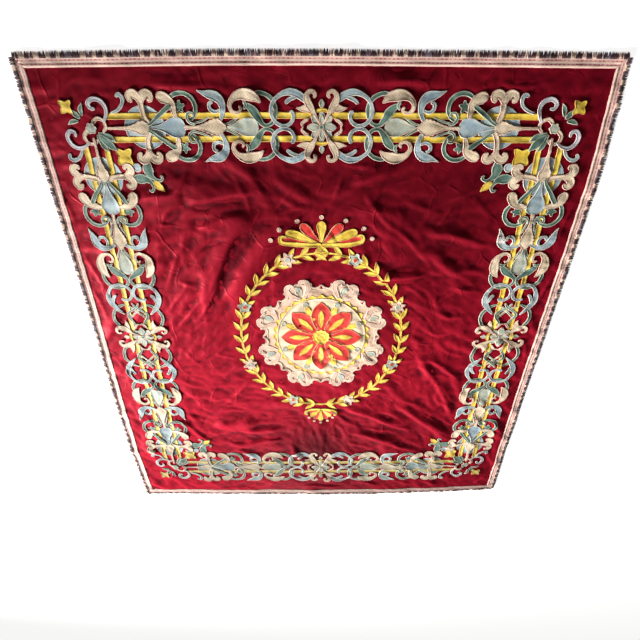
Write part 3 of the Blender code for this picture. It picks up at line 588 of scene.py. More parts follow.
# The crest's points, the distances to the foot on the left and right hand and the height, how crisp the
# crest is and, where it isn't the usual share, how it fades.
CREASE_ROWS = (
    # upper left: the long trough beside the middle, with its two walls
    (((-225, 575), (-295, 525), (-355, 445), (-400, 355), (-435, 280), (-475, 210),
      (-530, 120)), 50, 70, 18, 0.3, 0.25),
    (((-260, 520), (-310, 475), (-355, 400), (-395, 320), (-440, 235)), 26, 22, -9.5, 0.1, 0.3),
    (((-60, 580), (-155, 495), (-235, 410), (-290, 325), (-345, 245), (-410, 160)), 84, 60, 20, 0.3, 0.28),
    (((-415, 275), (-455, 200), (-500, 130), (-550, 60)), 9, 12, 7.1, 0.85),
    (((-500, 485), (-420, 525), (-335, 552), (-250, 555)), 24, 62, 14, 0.6),
    (((-510, 600), (-380, 628), (-220, 648)), 50, 24, 14, 0.6, 0.25),
    (((-560, 755), (-480, 768), (-390, 748)), 15, 22, 6.9, 0.65),
    (((-700, 600), (-610, 632), (-540, 640), (-500, 675), (-475, 740)), 17, 33, 12.3, 0.7),
    (((-620, 480), (-590, 550), (-540, 600), (-490, 615)), 9, 14, 5.8, 0.95),
    (((-570, 470), (-530, 435), (-485, 390)), 8, 11, 2.6, 1),
    (((-495, 385), (-440, 435), (-370, 460), (-330, 460)), 12, 12, -6.8, 0.95),
    (((-500, 508), (-460, 500), (-420, 498)), 16, 16, -5.5, 0.55),
    (((-600, 285), (-550, 270), (-490, 258)), 17, 13, 5, 0.75),
    (((-680, 110), (-600, 200), (-520, 290)), 13, 20, 6.4, 0.65),
    (((-660, 20), (-580, 100), (-490, 210)), 12, 19, 6.4, 0.65),
    (((-640, 240), (-600, 320), (-560, 420)), 17, 17, 4.3, 0.65),
    (((-300, 755), (-250, 700), (-215, 650), (-200, 600)), 14, 36, 3.6, 0.75),
    (((-275, 745), (-210, 680), (-140, 628)), 9, 9, 3.2, 0.85),
    (((-385, 760), (-345, 700), (-290, 660)), 8, 10, 3.2, 0.95),
    (((-190, 555), (-140, 610), (-80, 680)), 8, 9, 4.4, 0.95),
    (((-170, 562), (-110, 580), (-40, 600)), 8, 9, 4.6, 0.95),
    (((-150, 735), (-90, 720), (-40, 700)), 11, 16, 3.8, 0.65),
    # upper right: the long ridge from the top to the right side
    (((145, 655), (200, 590), (255, 525), (335, 472), (385, 415), (435, 360),
      (470, 325)), 27, 15, 5.6, 0.6, 0.18),
    (((400, 435), (460, 380), (530, 330), (610, 285)), 48, 30, 9.5, 0.4, 0.35),
    (((400, 488), (490, 484), (580, 462), (690, 422)), 20, 34, 9, 0.6, 0.3),
    (((500, 262), (580, 245), (680, 235)), 16, 22, 5, 0.65),
    (((190, 296), (270, 296), (350, 300), (450, 318)), 38, 18, 18, 0.55, 0.32),
    (((330, 275), (400, 235), (455, 180)), 15, 20, 4.9, 0.75),
    (((320, 215), (390, 155), (460, 100), (530, -30)), 12, 16, -4.3, 0.85),
    (((455, 285), (490, 205), (475, 160)), 8, 9, 2.7, 1),
    (((590, 245), (520, 200), (470, 165)), 9, 8, 5.5, 1),
    (((470, 604), (530, 633), (600, 662)), 24, 12, 7, 0.75),
    (((500, 610), (480, 560), (440, 505)), 9, 9, 5.8, 1),
    (((555, 635), (610, 585), (660, 530)), 20, 22, 3.6, 0.6),
    (((90, 668), (150, 686), (210, 708), (280, 765)), 22, 30, 9.5, 0.6),
    (((90, 715), (68, 660), (45, 605)), 11, 14, 5.3, 0.85),
    (((70, 745), (140, 735), (200, 740)), 14, 14, 5.8, 0.65),
    (((160, 540), (210, 490), (280, 435)), 20, 13, -4, 0.75),
    (((300, 620), (400, 580), (500, 550)), 20, 27, 4.6, 0.55),
    (((480, 145), (560, 110), (660, 120)), 15, 19, 6.5, 0.65),
    (((440, 60), (520, 20), (620, 40)), 13, 17, 5.5, 0.65),
    # right
    (((300, -122), (380, -125), (460, -118)), 12, 12, 6, 0.75),
    (((430, -70), (500, -180), (565, -270), (615, -360), (665, -490)), 24, 34, 6, 0.55, 0.22),
    (((570, -245), (615, -320), (655, -400)), 15, 12, 4.2, 0.6),
    (((440, -105), (520, -128), (595, -180), (670, -245)), 20, 22, 6.4, 0.7, 0.25),
    (((520, 0), (560, -60), (620, -90), (700, -100)), 12, 16, 4, 0.85),
    (((540, -270), (585, -315), (620, -370)), 8, 9, 2.4, 0.95),
    # lower right
    (((340, -375), (420, -425), (490, -478), (560, -540), (640, -610), (700, -660)), 34, 32, 9.5, 0.6, 0.25),
    (((530, -495), (600, -550), (690, -610)), 30, 20, 8, 0.5),
    (((80, -395), (170, -437), (260, -472), (340, -512), (420, -552), (510, -565)), 40, 22, 8.6, 0.55, 0.22),
    (((250, -470), (320, -500), (400, -512), (480, -490)), 38, 18, 10, 0.4),
    (((120, -585), (210, -592), (290, -622), (370, -658), (460, -700), (560, -735)), 34, 24, 8.6, 0.6, 0.22),
    (((250, -610), (330, -635), (420, -640)), 32, 16, 7, 0.4),
    (((420, -625), (480, -655), (550, -695)), 24, 20, 5.4, 0.6),
    (((20, -420), (80, -455), (130, -500), (200, -540)), 12, 23, 5.2, 0.75),
    (((30, -393), (120, -387), (220, -375)), 11, 14, 6.2, 0.75),
    (((220, -545), (300, -565), (380, -570)), 13, 17, 6.4, 0.65),
    (((55, -470), (72, -580), (85, -700)), 11, 8, 3.1, 0.95),
    (((130, -530), (150, -600), (160, -680)), 9, 9, 2, 0.85),
    (((390, -355), (440, -378), (480, -392)), 8, 9, 3.6, 0.95),
    (((520, -500), (570, -450), (620, -415)), 9, 9, 5.4, 1),
    (((580, -470), (630, -500), (690, -550)), 19, 13, 5, 0.75),
    (((130, -660), (210, -675), (300, -710)), 13, 17, 4.8, 0.65),
    # lower left
    (((-740, -485), (-685, -515), (-645, -565), (-605, -620), (-550, -655)), 13, 34, 8, 0.85, 0.3),
    (((-545, -512), (-480, -522), (-400, -515), (-330, -475)), 34, 66, 17, 0.35, 0.3),
    (((-690, -445), (-620, -466), (-560, -484), (-510, -492)), 9, 9, -5, 0.95),
    (((-440, -565), (-350, -568), (-270, -562), (-170, -552)), 24, 36, 12, 0.6, 0.3),
    (((-500, -648), (-410, -668), (-340, -652), (-270, -636), (-170, -632)), 20, 36, 15, 0.6, 0.25),
    (((-480, -700), (-410, -722), (-360, -755), (-330, -800)), 15, 27, 6.7, 0.75),
    (((-580, -575), (-540, -585), (-500, -575)), 28, 20, 6, 0.5),
    (((-320, -220), (-375, -295), (-430, -355), (-500, -410)), 22, 16, 6, 0.6),
    (((-350, -135), (-410, -178), (-470, -222)), 8, 8, 4.7, 0.95),
    (((-490, -75), (-430, -100), (-370, -110)), 11, 16, 4.9, 0.75),
    (((-285, -575), (-255, -640), (-200, -710)), 9, 9, 2.3, 1),
    (((-110, -430), (-85, -490), (-55, -550)), 9, 9, 2, 0.85),
    (((-50, -560), (-25, -630), (-15, -710)), 8, 11, 2.6, 0.85),
    (((-680, -220), (-610, -270), (-530, -280)), 13, 20, 4.5, 0.65),
    (((-620, -50), (-580, -120), (-530, -160)), 11, 16, 2.4, 0.65),
    (((-520, -440), (-440, -425), (-360, -440)), 12, 17, 5.9, 0.65),
    # margins
    (((-965, 660), (-940, 580), (-935, 500)), 9, 12, 3.3, 0.75),
    (((-955, 440), (-920, 340), (-895, 240), (-890, 160)), 11, 14, 3.8, 0.75),
    (((-960, 280), (-930, 180), (-920, 80)), 9, 12, 3.3, 0.75),
    (((-950, -80), (-910, -180), (-900, -280)), 11, 14, 3.2, 0.75),
    (((-960, -360), (-920, -440), (-900, -540)), 9, 14, 3.6, 0.75),
    (((-985, -660), (-930, -700), (-870, -730), (-800, -790)), 15, 22, 6.6, 0.75),
    (((955, 620), (930, 520), (925, 420)), 12, 9, 4.4, 0.75),
    (((960, 330), (930, 220), (900, 120)), 12, 12, 5.8, 0.75),
    (((910, 20), (940, -100), (960, -200)), 12, 12, 3.2, 0.75),
    (((820, -460), (890, -530), (975, -620)), 15, 22, 5.7, 0.75),
    (((900, -720), (930, -800), (965, -860)), 11, 16, 3.5, 0.75),
    (((860, -1000), (910, -940), (960, -900)), 12, 17, 9.1, 0.75),
    (((200, -955), (280, -985), (370, -1020)), 19, 15, 7.3, 0.75),
    (((360, -945), (460, -975), (560, -1010)), 13, 19, 6.6, 0.75),
    (((540, -940), (610, -975), (700, -1000)), 12, 17, 5.5, 0.75),
    (((-120, -1012), (-20, -1006), (80, -1012), (170, -1006)), 12, 17, 10.8, 0.75),
    (((-300, -1010), (-240, -975), (-160, -955)), 12, 17, 6.8, 0.75),
    (((-520, -1010), (-440, -975), (-360, -950)), 12, 17, 6.7, 0.75),
    (((-700, -1010), (-600, -985), (-500, -960)), 12, 16, 6.6, 0.75),
    (((-600, 1000), (-460, 985), (-320, 995)), 13, 19, 5.9, 0.65),
    (((120, 990), (280, 1000), (420, 985)), 13, 19, 5.9, 0.65),
    (((550, 1000), (660, 985), (780, 1000)), 12, 17, 5.9, 0.65),
)
CREASES = tuple(Crease(*row) for row in CREASE_ROWS)


@dataclass
class HeightMap:
    """The height of the cloth's underside on a fine net, with its slopes.

    Attributes:
        low: Place of the net's first point.
        step: Of the net.
        layers: Height, its two slopes and how hollow the place is, shaped (rows, columns, 4).
    """

    low: Array
    step: float
    layers: Array

    def at(self, x: Array, y: Array) -> Array:
        """Height and slopes at any place, shared between the four nearest points of the net."""
        column = np.clip((x - self.low[0]) / self.step, 0, self.layers.shape[1] - 1.001)
        row = np.clip((y - self.low[1]) / self.step, 0, self.layers.shape[0] - 1.001)
        c, r = column.astype(int), row.astype(int)
        u, v = (column - c)[..., None], (row - r)[..., None]
        lower = self.layers[r, c] * (1 - u) + self.layers[r, c + 1] * u
        upper = self.layers[r + 1, c] * (1 - u) + self.layers[r + 1, c + 1] * u
        return lower * (1 - v) + upper * v


@dataclass
class LaidCloth:
    """The folded surface that every piece lies on.

    Attributes:
        width, length: Of the cloth over its fringe.
        thickness: Of the ground cloth.
        fringe_drop: From the ground cloth's edge to the fringe's tips.
        design_x, design_y: The middle of the design, a little off the cloth's middle.
        bow_fade: The power with which an edge's bow fades inwards.
        bows: How far each edge lies outwards from straight, at even steps along it.
        swell_share: How much of the broad swells shows.
        knee: The height over which folds flatten.
        headroom: The most that they rise over the knee.
        loft: How far the field lies off the floor between its folds.
        level_edge: Width of the strip along the edge that has no loft.
        loft_run: Over which the loft comes in.
        swell_clear: How far inside the edge the swells stay.
        net: Step of the height map.
        net_spare: How far the map runs past the cloth.
        hollow_width: Over which a place is compared with the cloth round it.
        hollow_depth: The depth that counts as fully hollow.
        small_creases: Number of slight creases between the main ones.
        soft_share: How many of them are long and soft.
        crumples: Length, width and usual slope of each scale of fine crumpling.
        headings: In how many directions the crumpling is drawn.
        seed: Of the random draws.
    """

    width: float = 2.00
    length: float = 2.18
    thickness: float = 2.2 * MM
    fringe_drop: float = 16 * MM
    design_x: float = 5 * MM
    design_y: float = 8 * MM
    bow_fade: int = 4
    bows: dict[str, tuple[float, ...]] = field(
        default_factory=lambda: {
            "left": (0.004, 0.018, 0.016, 0.004, -0.003, -0.006, -0.010),
            "right": (-0.004, -0.003, 0.002, 0.008, 0.014, 0.018, -0.008),
            "bottom": (-0.004, -0.002, 0.000, 0.000, -0.004, -0.020, -0.044),
            "top": (-0.008, -0.004, 0.000, 0.000, -0.003, -0.006, -0.010),
        }
    )
    swell_share: float = 0.40
    knee: float = 15 * MM
    headroom: float = 14 * MM
    loft: float = 4 * MM
    level_edge: float = 30 * MM
    loft_run: float = 200 * MM
    swell_clear: float = 70 * MM
    net: float = 3 * MM
    net_spare: float = 50 * MM
    hollow_width: float = 22 * MM
    hollow_depth: float = 2.8 * MM
    small_creases: int = 760
    soft_share: float = 0.28
    crumples: tuple[tuple[float, float, float], ...] = ((0.050, 0.020, 0.110), (0.020, 0.0080, 0.085))
    headings: int = 6
    seed: int = 21

    def __post_init__(self) -> None:
        """Works out the height map once."""
        half = np.array([self.width, self.length]) / 2
        corner = half + self.net_spare
        counts = np.ceil(2 * corner / self.net).astype(int) + 1
        x, y = np.meshgrid(*(self.net * np.arange(count) - start for count, start in zip(counts, corner)))
        inner = half - self.swell_clear
        inner_x, inner_y = np.clip(x, -inner[0], inner[0]), np.clip(y, -inner[1], inner[1])
        relief = self.loft * self.dome(x, y)
        for swell in SWELLS:
            relief += self.swell_share * swell.rise(inner_x, inner_y)
        for crease in (*CREASES, *self.slight_creases()):
            crease.add_to(relief, -corner, self.net)
        relief = np.maximum(relief + self.crumple(x, y), 0.0)
        over = np.maximum(relief - self.knee, 0)
        relief = np.minimum(relief, self.knee) + self.headroom * (1 - np.exp(-over / self.headroom))
        relief[1:-1] = (relief[:-2] + 2 * relief[1:-1] + relief[2:]) / 4
        relief[:, 1:-1] = (relief[:, :-2] + 2 * relief[:, 1:-1] + relief[:, 2:]) / 4
        slope_y, slope_x = np.gradient(relief, self.net)
        wave_x, wave_y = self.waves(relief)
        soften = np.exp(-(self.hollow_width**2) * (wave_x**2 + wave_y**2) / 2)
        broad = np.real(np.fft.ifft2(np.fft.fft2(relief) * soften))
        hollow = np.clip((broad - relief) / self.hollow_depth, -1, 1)
        self.map = HeightMap(-corner, self.net, np.stack([relief, slope_x, slope_y, hollow], axis=-1))

    def waves(self, relief: Array) -> tuple[Array, Array]:
        """The wave numbers of a height map's two Fourier axes, in radians a metre."""
        down, across = (2 * np.pi * np.fft.fftfreq(count, self.net) for count in relief.shape)
        return across[None], down[:, None]

    @property
    def ground_half(self) -> tuple[float, float]:
        """Half the ground cloth's width and length, without the fringe."""
        return self.width / 2 - self.fringe_drop, self.length / 2 - self.fringe_drop

    def centred(self, points: Array) -> Array:
        """Moves points given from the middle of the design to their place on the cloth."""
        return points + np.array([self.design_x, self.design_y])

    def dome(self, x: Array, y: Array) -> Array:
        """1 inside the border and 0 at the cloth's edge, eased as a cubic."""
        near = np.minimum(self.width / 2 - np.abs(x), self.length / 2 - np.abs(y))
        share = np.clip((near - self.level_edge) / self.loft_run, 0, 1)
        return share**2 * (3 - 2 * share)

    @staticmethod
    def run_of_folds(x: Array, y: Array) -> Array:
        """The heading of the folds at each place, in radians: the mean of the swells', nearest first."""
        cosine, sine = np.zeros_like(x), np.zeros_like(x)
        for swell in SWELLS:
            weight = 1 / ((x - swell.x) ** 2 + (y - swell.y) ** 2 + 0.01) ** 2
            cosine += weight * math.cos(2 * math.radians(swell.heading))
            sine += weight * math.sin(2 * math.radians(swell.heading))
        return np.arctan2(sine, cosine) / 2

    def crumple(self, x: Array, y: Array) -> Array:
        """Fine crumpling that runs with the folds.

        White noise is drawn out along each of some headings. Its filter is exp(-(length k)^2 / 2) along
        the heading and (width k) exp(-(width k)^2 / 2) across it. The result f is bent to f + |f|,
        which leaves level cloth between raised folds, and each place mixes the headings near its own.

        Args:
            x, y: Places, in metres.

        Returns:
            The height at each place.
        """
        chance = np.random.default_rng(self.seed + 1)
        heading = self.run_of_folds(x, y)
        wave_x, wave_y = self.waves(x)
        total = np.zeros_like(x)
        for length, width, steep in self.crumples:
            mixed, weights = np.zeros_like(x), np.zeros_like(x)
            for turn in np.arange(self.headings) * math.pi / self.headings:
                along = wave_x * math.cos(turn) + wave_y * math.sin(turn)
                across = wave_y * math.cos(turn) - wave_x * math.sin(turn)
                drawn = np.exp(-((length * along) ** 2) / 2)
                drawn = drawn * np.abs(width * across) * np.exp(-((width * across) ** 2) / 2)
                noise = np.real(np.fft.ifft2(np.fft.fft2(chance.standard_normal(x.shape)) * drawn))
                noise /= noise.std()
                weight = np.exp(-((np.sin(heading - turn) / 0.75) ** 2))
                mixed += weight * (noise + np.abs(noise))
                weights += weight
            mixed /= weights
            slopes = np.gradient(mixed, self.net)
            total += mixed * steep / np.sqrt(np.mean(slopes[0] ** 2 + slopes[1] ** 2))
        return total

    def slight_creases(self) -> list[Crease]:
        """Slight creases that follow the nearest swell: some long and soft, and most short and sharp."""
        chance = np.random.default_rng(self.seed)
        made = []
        for number in range(self.small_creases):
            soft = number < self.small_creases * self.soft_share
            x, y = chance.uniform(-0.95, 0.95), chance.uniform(-1.03, 1.03)
            nearest = min(SWELLS, key=lambda swell: math.hypot(swell.x - x, swell.y - y))
            turn = math.radians(nearest.heading + chance.normal(0, 26 if soft else 42))
            half = chance.uniform(0.03, 0.11) if soft else chance.uniform(0.015, 0.07)
            bend = chance.normal(0, 0.18) * half
            ray = np.array([math.cos(turn), math.sin(turn)])
            side = np.array([-math.sin(turn), math.cos(turn)])
            line = np.array([x, y]) + np.array([-half * ray, bend * side, half * ray])
            wide = chance.uniform(11, 24) if soft else chance.uniform(6, 11)
            height = chance.uniform(-2.6, 3.8) if soft else chance.uniform(0.8, 2.3) * chance.choice([-1, 1])
            line_mm = tuple(map(tuple, line / MM))
            made.append(Crease(line_mm, wide, wide * chance.uniform(0.8, 1.5), height, 0.8))
        return made

    def bow(self, edge: str, share: Array) -> Array:
        """How far an edge lies outwards at a share of the way along it, eased between its steps."""
        bows = np.asarray(self.bows[edge])
        return np.interp(share, np.linspace(0, 1, len(bows)), bows)

    def as_laid(self, flat: Array) -> Array:
        """Moves flat points with the cloth's uneven edges.

        Each edge's bow fades as a power of the distance from that edge.

        Args:
            flat: Points of the cloth as it was cut, in an array that ends in x and y.

        Returns:
            Their places on the floor, seen from above.
        """
        to_right = flat[..., 0] / self.width + 0.5
        to_top = flat[..., 1] / self.length + 0.5
        clear_right, clear_top = np.clip(to_right, 0, 1), np.clip(to_top, 0, 1)
        shift_x = self.bow("right", to_top) * clear_right**self.bow_fade
        shift_x -= self.bow("left", to_top) * (1 - clear_right) ** self.bow_fade
        shift_y = self.bow("top", to_right) * clear_top**self.bow_fade
        shift_y -= self.bow("bottom", to_right) * (1 - clear_top) ** self.bow_fade
        return flat + np.stack([shift_x, shift_y], axis=-1)

    def lay(self, flat: Array, rise: Array | float) -> Array:
        """Lays flat points on the cloth, each raised along the surface's own normal.

        Args:
            flat: Points as cut, in an array that ends in x and y.
            rise: Their height over the top of the ground cloth.

        Returns:
            The points in space, in an array that ends in x, y and z.
        """
        laid = self.as_laid(flat)
        x, y = laid[..., 0], laid[..., 1]
        found = self.map.at(x, y)
        steep = np.sqrt(1 + found[..., 1] ** 2 + found[..., 2] ** 2)
        out = (np.zeros_like(x) + rise) / steep
        z = found[..., 0] + self.thickness + out
        return np.stack([x - found[..., 1] * out, y - found[..., 2] * out, z], axis=-1)


CLOTH = LaidCloth()


# ---------------------------------------------------------------- meshes


@dataclass
class Patch:
    """A closed form as a grid of rings: the last row joins the first, and each end column is a pole.

    Attributes:
        points: The grid's points, shaped (rows round, columns along, 3).
        uv: Distance along and across the piece, shaped (rows, columns, 2).
        rim: Distance from the piece's edge, shaped (rows, columns).
        tone: Which colour of its material a point takes, from 0 to 1.
    """

    points: Array
    uv: Array
    rim: Array
    tone: float = 0.0

    def capped(self) -> Patch:
        """Closes both ends: each gets a column of points that all lie in the middle of its ring."""

        def cap(grid: Array) -> Array:
            """Adds the mean of each end column beside it."""
            first, last = grid[:, :1], grid[:, -1:]
            ends = [np.broadcast_to(end.mean(axis=0), end.shape) for end in (first, last)]
            return np.concatenate([ends[0], grid, ends[1]], axis=1)

        return Patch(cap(self.points), cap(self.uv), cap(self.rim), self.tone)

    def facing_out(self) -> Patch:
        """Reverses the columns where the form's signed volume is below zero, as on a mirrored copy."""
        ring = np.concatenate([self.points, self.points[:1]])
        a, b, c, d = ring[:-1, :-1], ring[:-1, 1:], ring[1:, 1:], ring[1:, :-1]
        volume = (a * np.cross(b, c) + a * np.cross(c, d)).sum()
        if volume > 0:
            return self
        return Patch(self.points[:, ::-1], self.uv[:, ::-1], self.rim[:, ::-1], self.tone)

    def quads(self, first: int) -> Array:
        """The grid's faces as vertex numbers from the number given, with one number for each pole."""
        rows, columns = self.rim.shape
        number = np.arange(rows * columns).reshape(rows, columns) + first
        number[:, 0], number[:, -1] = number[0, 0], number[0, -1]
        return grid_quads(np.vstack([number, number[:1]]))


def grid_quads(number: Array) -> Array:
    """The faces between the neighbours in a grid of vertex numbers."""
    corners = [number[:-1, :-1], number[:-1, 1:], number[1:, 1:], number[1:, :-1]]
    return np.stack(corners, axis=-1).reshape(-1, 4)


def fill_layers(mesh: Mesh, **layers: Array) -> None:
    """Stores a number at each vertex of a mesh, in a layer for each name."""
    for label, values in layers.items():
        layer = mesh.attributes.new(label, "FLOAT", "POINT")
        layer.data.foreach_set("value", values.astype(np.float32))


def placed(mesh: Mesh, material: Material) -> Object:
    """Puts a mesh with its material into the scene, as an object of the same name."""
    mesh.materials.append(material)
    made = bpy.data.objects.new(mesh.name, mesh)
    bpy.context.scene.collection.objects.link(made)
    return made


def mesh_object(name: str, patches: list[Patch], material: Material) -> Object:
    """Makes one object of several closed forms, smooth shaded.

    A face at a pole has one vertex number twice: the second is dropped, which makes it a triangle.

    Args:
        name: The object's name.
        patches: The forms that it joins.
        material: Its material.

    Returns:
        The new object, linked to the scene.
    """
    patches = [patch.facing_out() for patch in patches]
    sizes = np.array([patch.rim.size for patch in patches])
    firsts = np.concatenate([[0], np.cumsum(sizes)[:-1]])
    faces = np.concatenate([patch.quads(int(first)) for patch, first in zip(patches, firsts)])
    kept = faces != np.roll(faces, 1, axis=1)
    used, corners = np.unique(faces[kept], return_inverse=True)
    points = np.concatenate([patch.points.reshape(-1, 3) for patch in patches])[used]
    uvs = np.concatenate([patch.uv.reshape(-1, 2) for patch in patches])[used]
    rims = np.concatenate([patch.rim.reshape(-1) for patch in patches])[used]
    tones = np.repeat([patch.tone for patch in patches], sizes)[used]
    mesh = bpy.data.meshes.new(name)
    mesh.vertices.add(len(points))
    mesh.vertices.foreach_set("co", points.astype(np.float32).ravel())
    mesh.loops.add(len(corners))
    mesh.loops.foreach_set("vertex_index", corners.astype(np.int32).ravel())
    mesh.polygons.add(len(faces))
    starts = np.concatenate([[0], np.cumsum(kept.sum(axis=1))[:-1]])
    mesh.polygons.foreach_set("loop_start", starts.astype(np.int32))
    mesh.update(calc_edges=True)
    layer = mesh.uv_layers.new(name="cut")
    layer.data.foreach_set("uv", uvs[corners.ravel()].astype(np.float32).ravel())
    fill_layers(mesh, rim=rims, tone=tones)
    mesh.shade_smooth()
    mesh.validate()
    return placed(mesh, material)


@dataclass(frozen=True)
class Section:
    """The section of a couched piece, from its cut edge inwards.

    Attributes:
        inset_mm: Distance from the edge of each point of the section, the cord first.
        rise_mm: Height of each point over the piece's own level.
        crown_mm: How much higher the middle of the cloth lies.
        level_mm: From one layer to the next.
        under_mm: Height of the piece's underside, a little inside the cloth below it.
    """

    inset_mm: tuple[float, ...] = (0.0, 0.7, 2.0, 3.4)
    rise_mm: tuple[float, ...] = (-0.6, 1.0, 1.5, 0.55)
    crown_mm: float = 0.8
    level_mm: float = 0.75
    under_mm: float = -0.6


SECTION = Section()


@dataclass(frozen=True)
class Stroke:
    """A strip of applique along a smooth line, with round or pointed ends.

    Attributes:
        silk: The cloth that it is cut from.
        level: Its layer, 0 lowest.
        rows: Along, across and full width at points of its middle line, in millimetres.
        teeth: Notches along each edge.
        step_mm: Between two sections, about.
    """

    silk: Silk
    level: float
    rows: tuple[tuple[float, float, float], ...]
    teeth: int = 0
    step_mm: float = 4.8

    def stations(self, run: Array, half_start: float, half_end: float) -> Array:
        """Distances along of the sections, closer together in the rounded ends."""
        total = run[-1]
        cap = 1 - np.cos(np.linspace(0, np.pi / 2, 5))
        body = np.linspace(half_start, total - half_end, max(3, int(total / (self.step_mm * MM))))
        found = np.concatenate([half_start * cap, body[1:-1], total - half_end * cap[::-1]])
        return np.unique(np.clip(found, 0, total))

    def patch(self, place: Callable[[Array], Array]) -> Patch:
        """Builds the strip: the section carried along the middle line, and closed underneath.

        Args:
            place: Turns points along and across, in metres, into flat points of the cloth.

        Returns:
            The laid form.
        """
        dense = smooth_line(np.asarray(self.rows, float) * MM)
        run = run_along(dense[:, :2])
        half_start, half_end = dense[0, 2] / 2, dense[-1, 2] / 2
        stations = self.stations(run, half_start, half_end)
        middle = np.stack([np.interp(stations, run, dense[:, k]) for k in range(3)], axis=-1)
        half = np.maximum(middle[:, 2] / 2, 0.4 * MM)
        ahead = np.gradient(middle[:, :2], stations, axis=0)
        ahead /= np.maximum(np.linalg.norm(ahead, axis=1, keepdims=True), 1e-9)
        left = np.stack([-ahead[:, 1], ahead[:, 0]], axis=-1)
        if self.teeth:
            half = half * (1 - 0.22 * ((stations / run[-1] * self.teeth) % 1.0))
        for start, cap_half in ((stations, half_start), (run[-1] - stations, half_end)):
            if cap_half > 0.2 * MM:
                half = half * np.sqrt(np.maximum(1 - np.clip(1 - start / cap_half, 0, 1) ** 2, 1e-4))
        inset = np.asarray(SECTION.inset_mm)[:, None] * MM
        rise = np.asarray(SECTION.rise_mm)[:, None] * MM
        squeeze = np.minimum(1.0, half / (inset[-1] * 1.25))
        crown = rise[-1] + SECTION.crown_mm * MM * np.minimum(1, half / (12 * MM))
        rims, highs = [inset * squeeze], [rise * np.sqrt(squeeze)]
        if half.max() > 11 * MM:
            inner = inset[-1] * squeeze
            rims.append(((inner + half) / 2)[None])
            highs.append((0.25 * rise[-1] * np.sqrt(squeeze) + 0.75 * crown)[None])
        side_rim, side_high = np.concatenate(rims), np.concatenate(highs)
        rim = np.concatenate([side_rim, half[None], side_rim[::-1], half[None]])
        side = np.concatenate([side_rim - half, 0 * half[None], (half - side_rim)[::-1], 0 * half[None]])
        under = np.full_like(half, SECTION.under_mm * MM)
        high = np.concatenate([side_high, crown[None], side_high[::-1], under[None]])
        flat = middle[None, :, :2] + left[None] * side[..., None]
        points = CLOTH.lay(place(flat), high + self.level * SECTION.level_mm * MM)
        uv = np.stack([np.broadcast_to(stations, side.shape), side], axis=-1)
        return Patch(points, uv, rim).capped()


@dataclass(frozen=True)
class Bloom:
    """A round piece of applique whose edge waves between lobes.

    Attributes:
        silk: The cloth that it is cut from.
        level: Its layer, 0 lowest.
        along, across: Its middle, in millimetres.
        radius: To a lobe's tip, in millimetres.
        lobes: Number of lobes, 0 for a disc.
        deep: How much of the radius a wave takes off.
        turn: Of the first lobe, in degrees.
        sharp: Above 1 for pointed lobes.
        ring_mm: Between two rings of a large piece.
    """

    silk: Silk
    level: float
    along: float
    across: float
    radius: float
    lobes: int = 0
    deep: float = 0.0
    turn: float = 0.0
    sharp: float = 1.0
    ring_mm: float = 8.5

    def patch(self, place: Callable[[Array], Array]) -> Patch:
        """Builds the piece as rings, from the middle of its underside round its edge to its top.

        Args:
            place: Turns points along and across, in metres, into flat points of the cloth.

        Returns:
            The laid form.
        """
        steps = max(24, 12 * self.lobes, int(2 * math.pi * self.radius / 6.5))
        angle = np.linspace(0, 2 * np.pi, steps, endpoint=False)
        wave = (1 - np.cos(self.lobes * angle)) / 2
        edge = self.radius * MM * (1 - self.deep * wave ** (1 / self.sharp))[:, None]
        scale = min(1.0, self.radius / 14)
        inset, rise = np.asarray(SECTION.inset_mm) * MM * scale, np.asarray(SECTION.rise_mm) * MM * scale
        share = np.linspace(1, 0, max(3, int(self.radius / self.ring_mm) + 2))[1:]
        under_share = np.linspace(0, 1, max(2, int(self.radius / self.ring_mm / 2) + 2))[:-1]
        inner = edge - inset[-1]
        radius = np.concatenate([edge * under_share, edge - inset, inner * share], axis=1)
        under = np.full_like(under_share, SECTION.under_mm * MM * scale)
        high = np.concatenate([under, rise, rise[-1] + SECTION.crown_mm * MM * (1 - share**2)])
        turned = angle[:, None] + math.radians(self.turn)
        ray = np.stack([np.cos(turned), np.sin(turned)], axis=-1)
        flat = np.array([self.along, self.across]) * MM + radius[..., None] * ray
        level = self.level * SECTION.level_mm * MM
        points = CLOTH.lay(place(flat), np.broadcast_to(high + level, radius.shape))
        uv = np.stack([np.broadcast_to(angle[:, None] * self.radius * MM, radius.shape), radius], axis=-1)
        return Patch(points, uv, edge - radius)


Shape = Stroke | Bloom


class Copies(Enum):
    """How a motif of the border is repeated: the signs of along and across of each copy."""

    QUARTERS = ((1, 1), (-1, 1), (1, -1), (-1, -1))
    ENDS = ((1, 1), (-1, 1))
    EDGES = ((1, 1), (1, -1))
    ONCE = ((1, 1),)


QUARTERS, ENDS, EDGES, ONCE = Copies

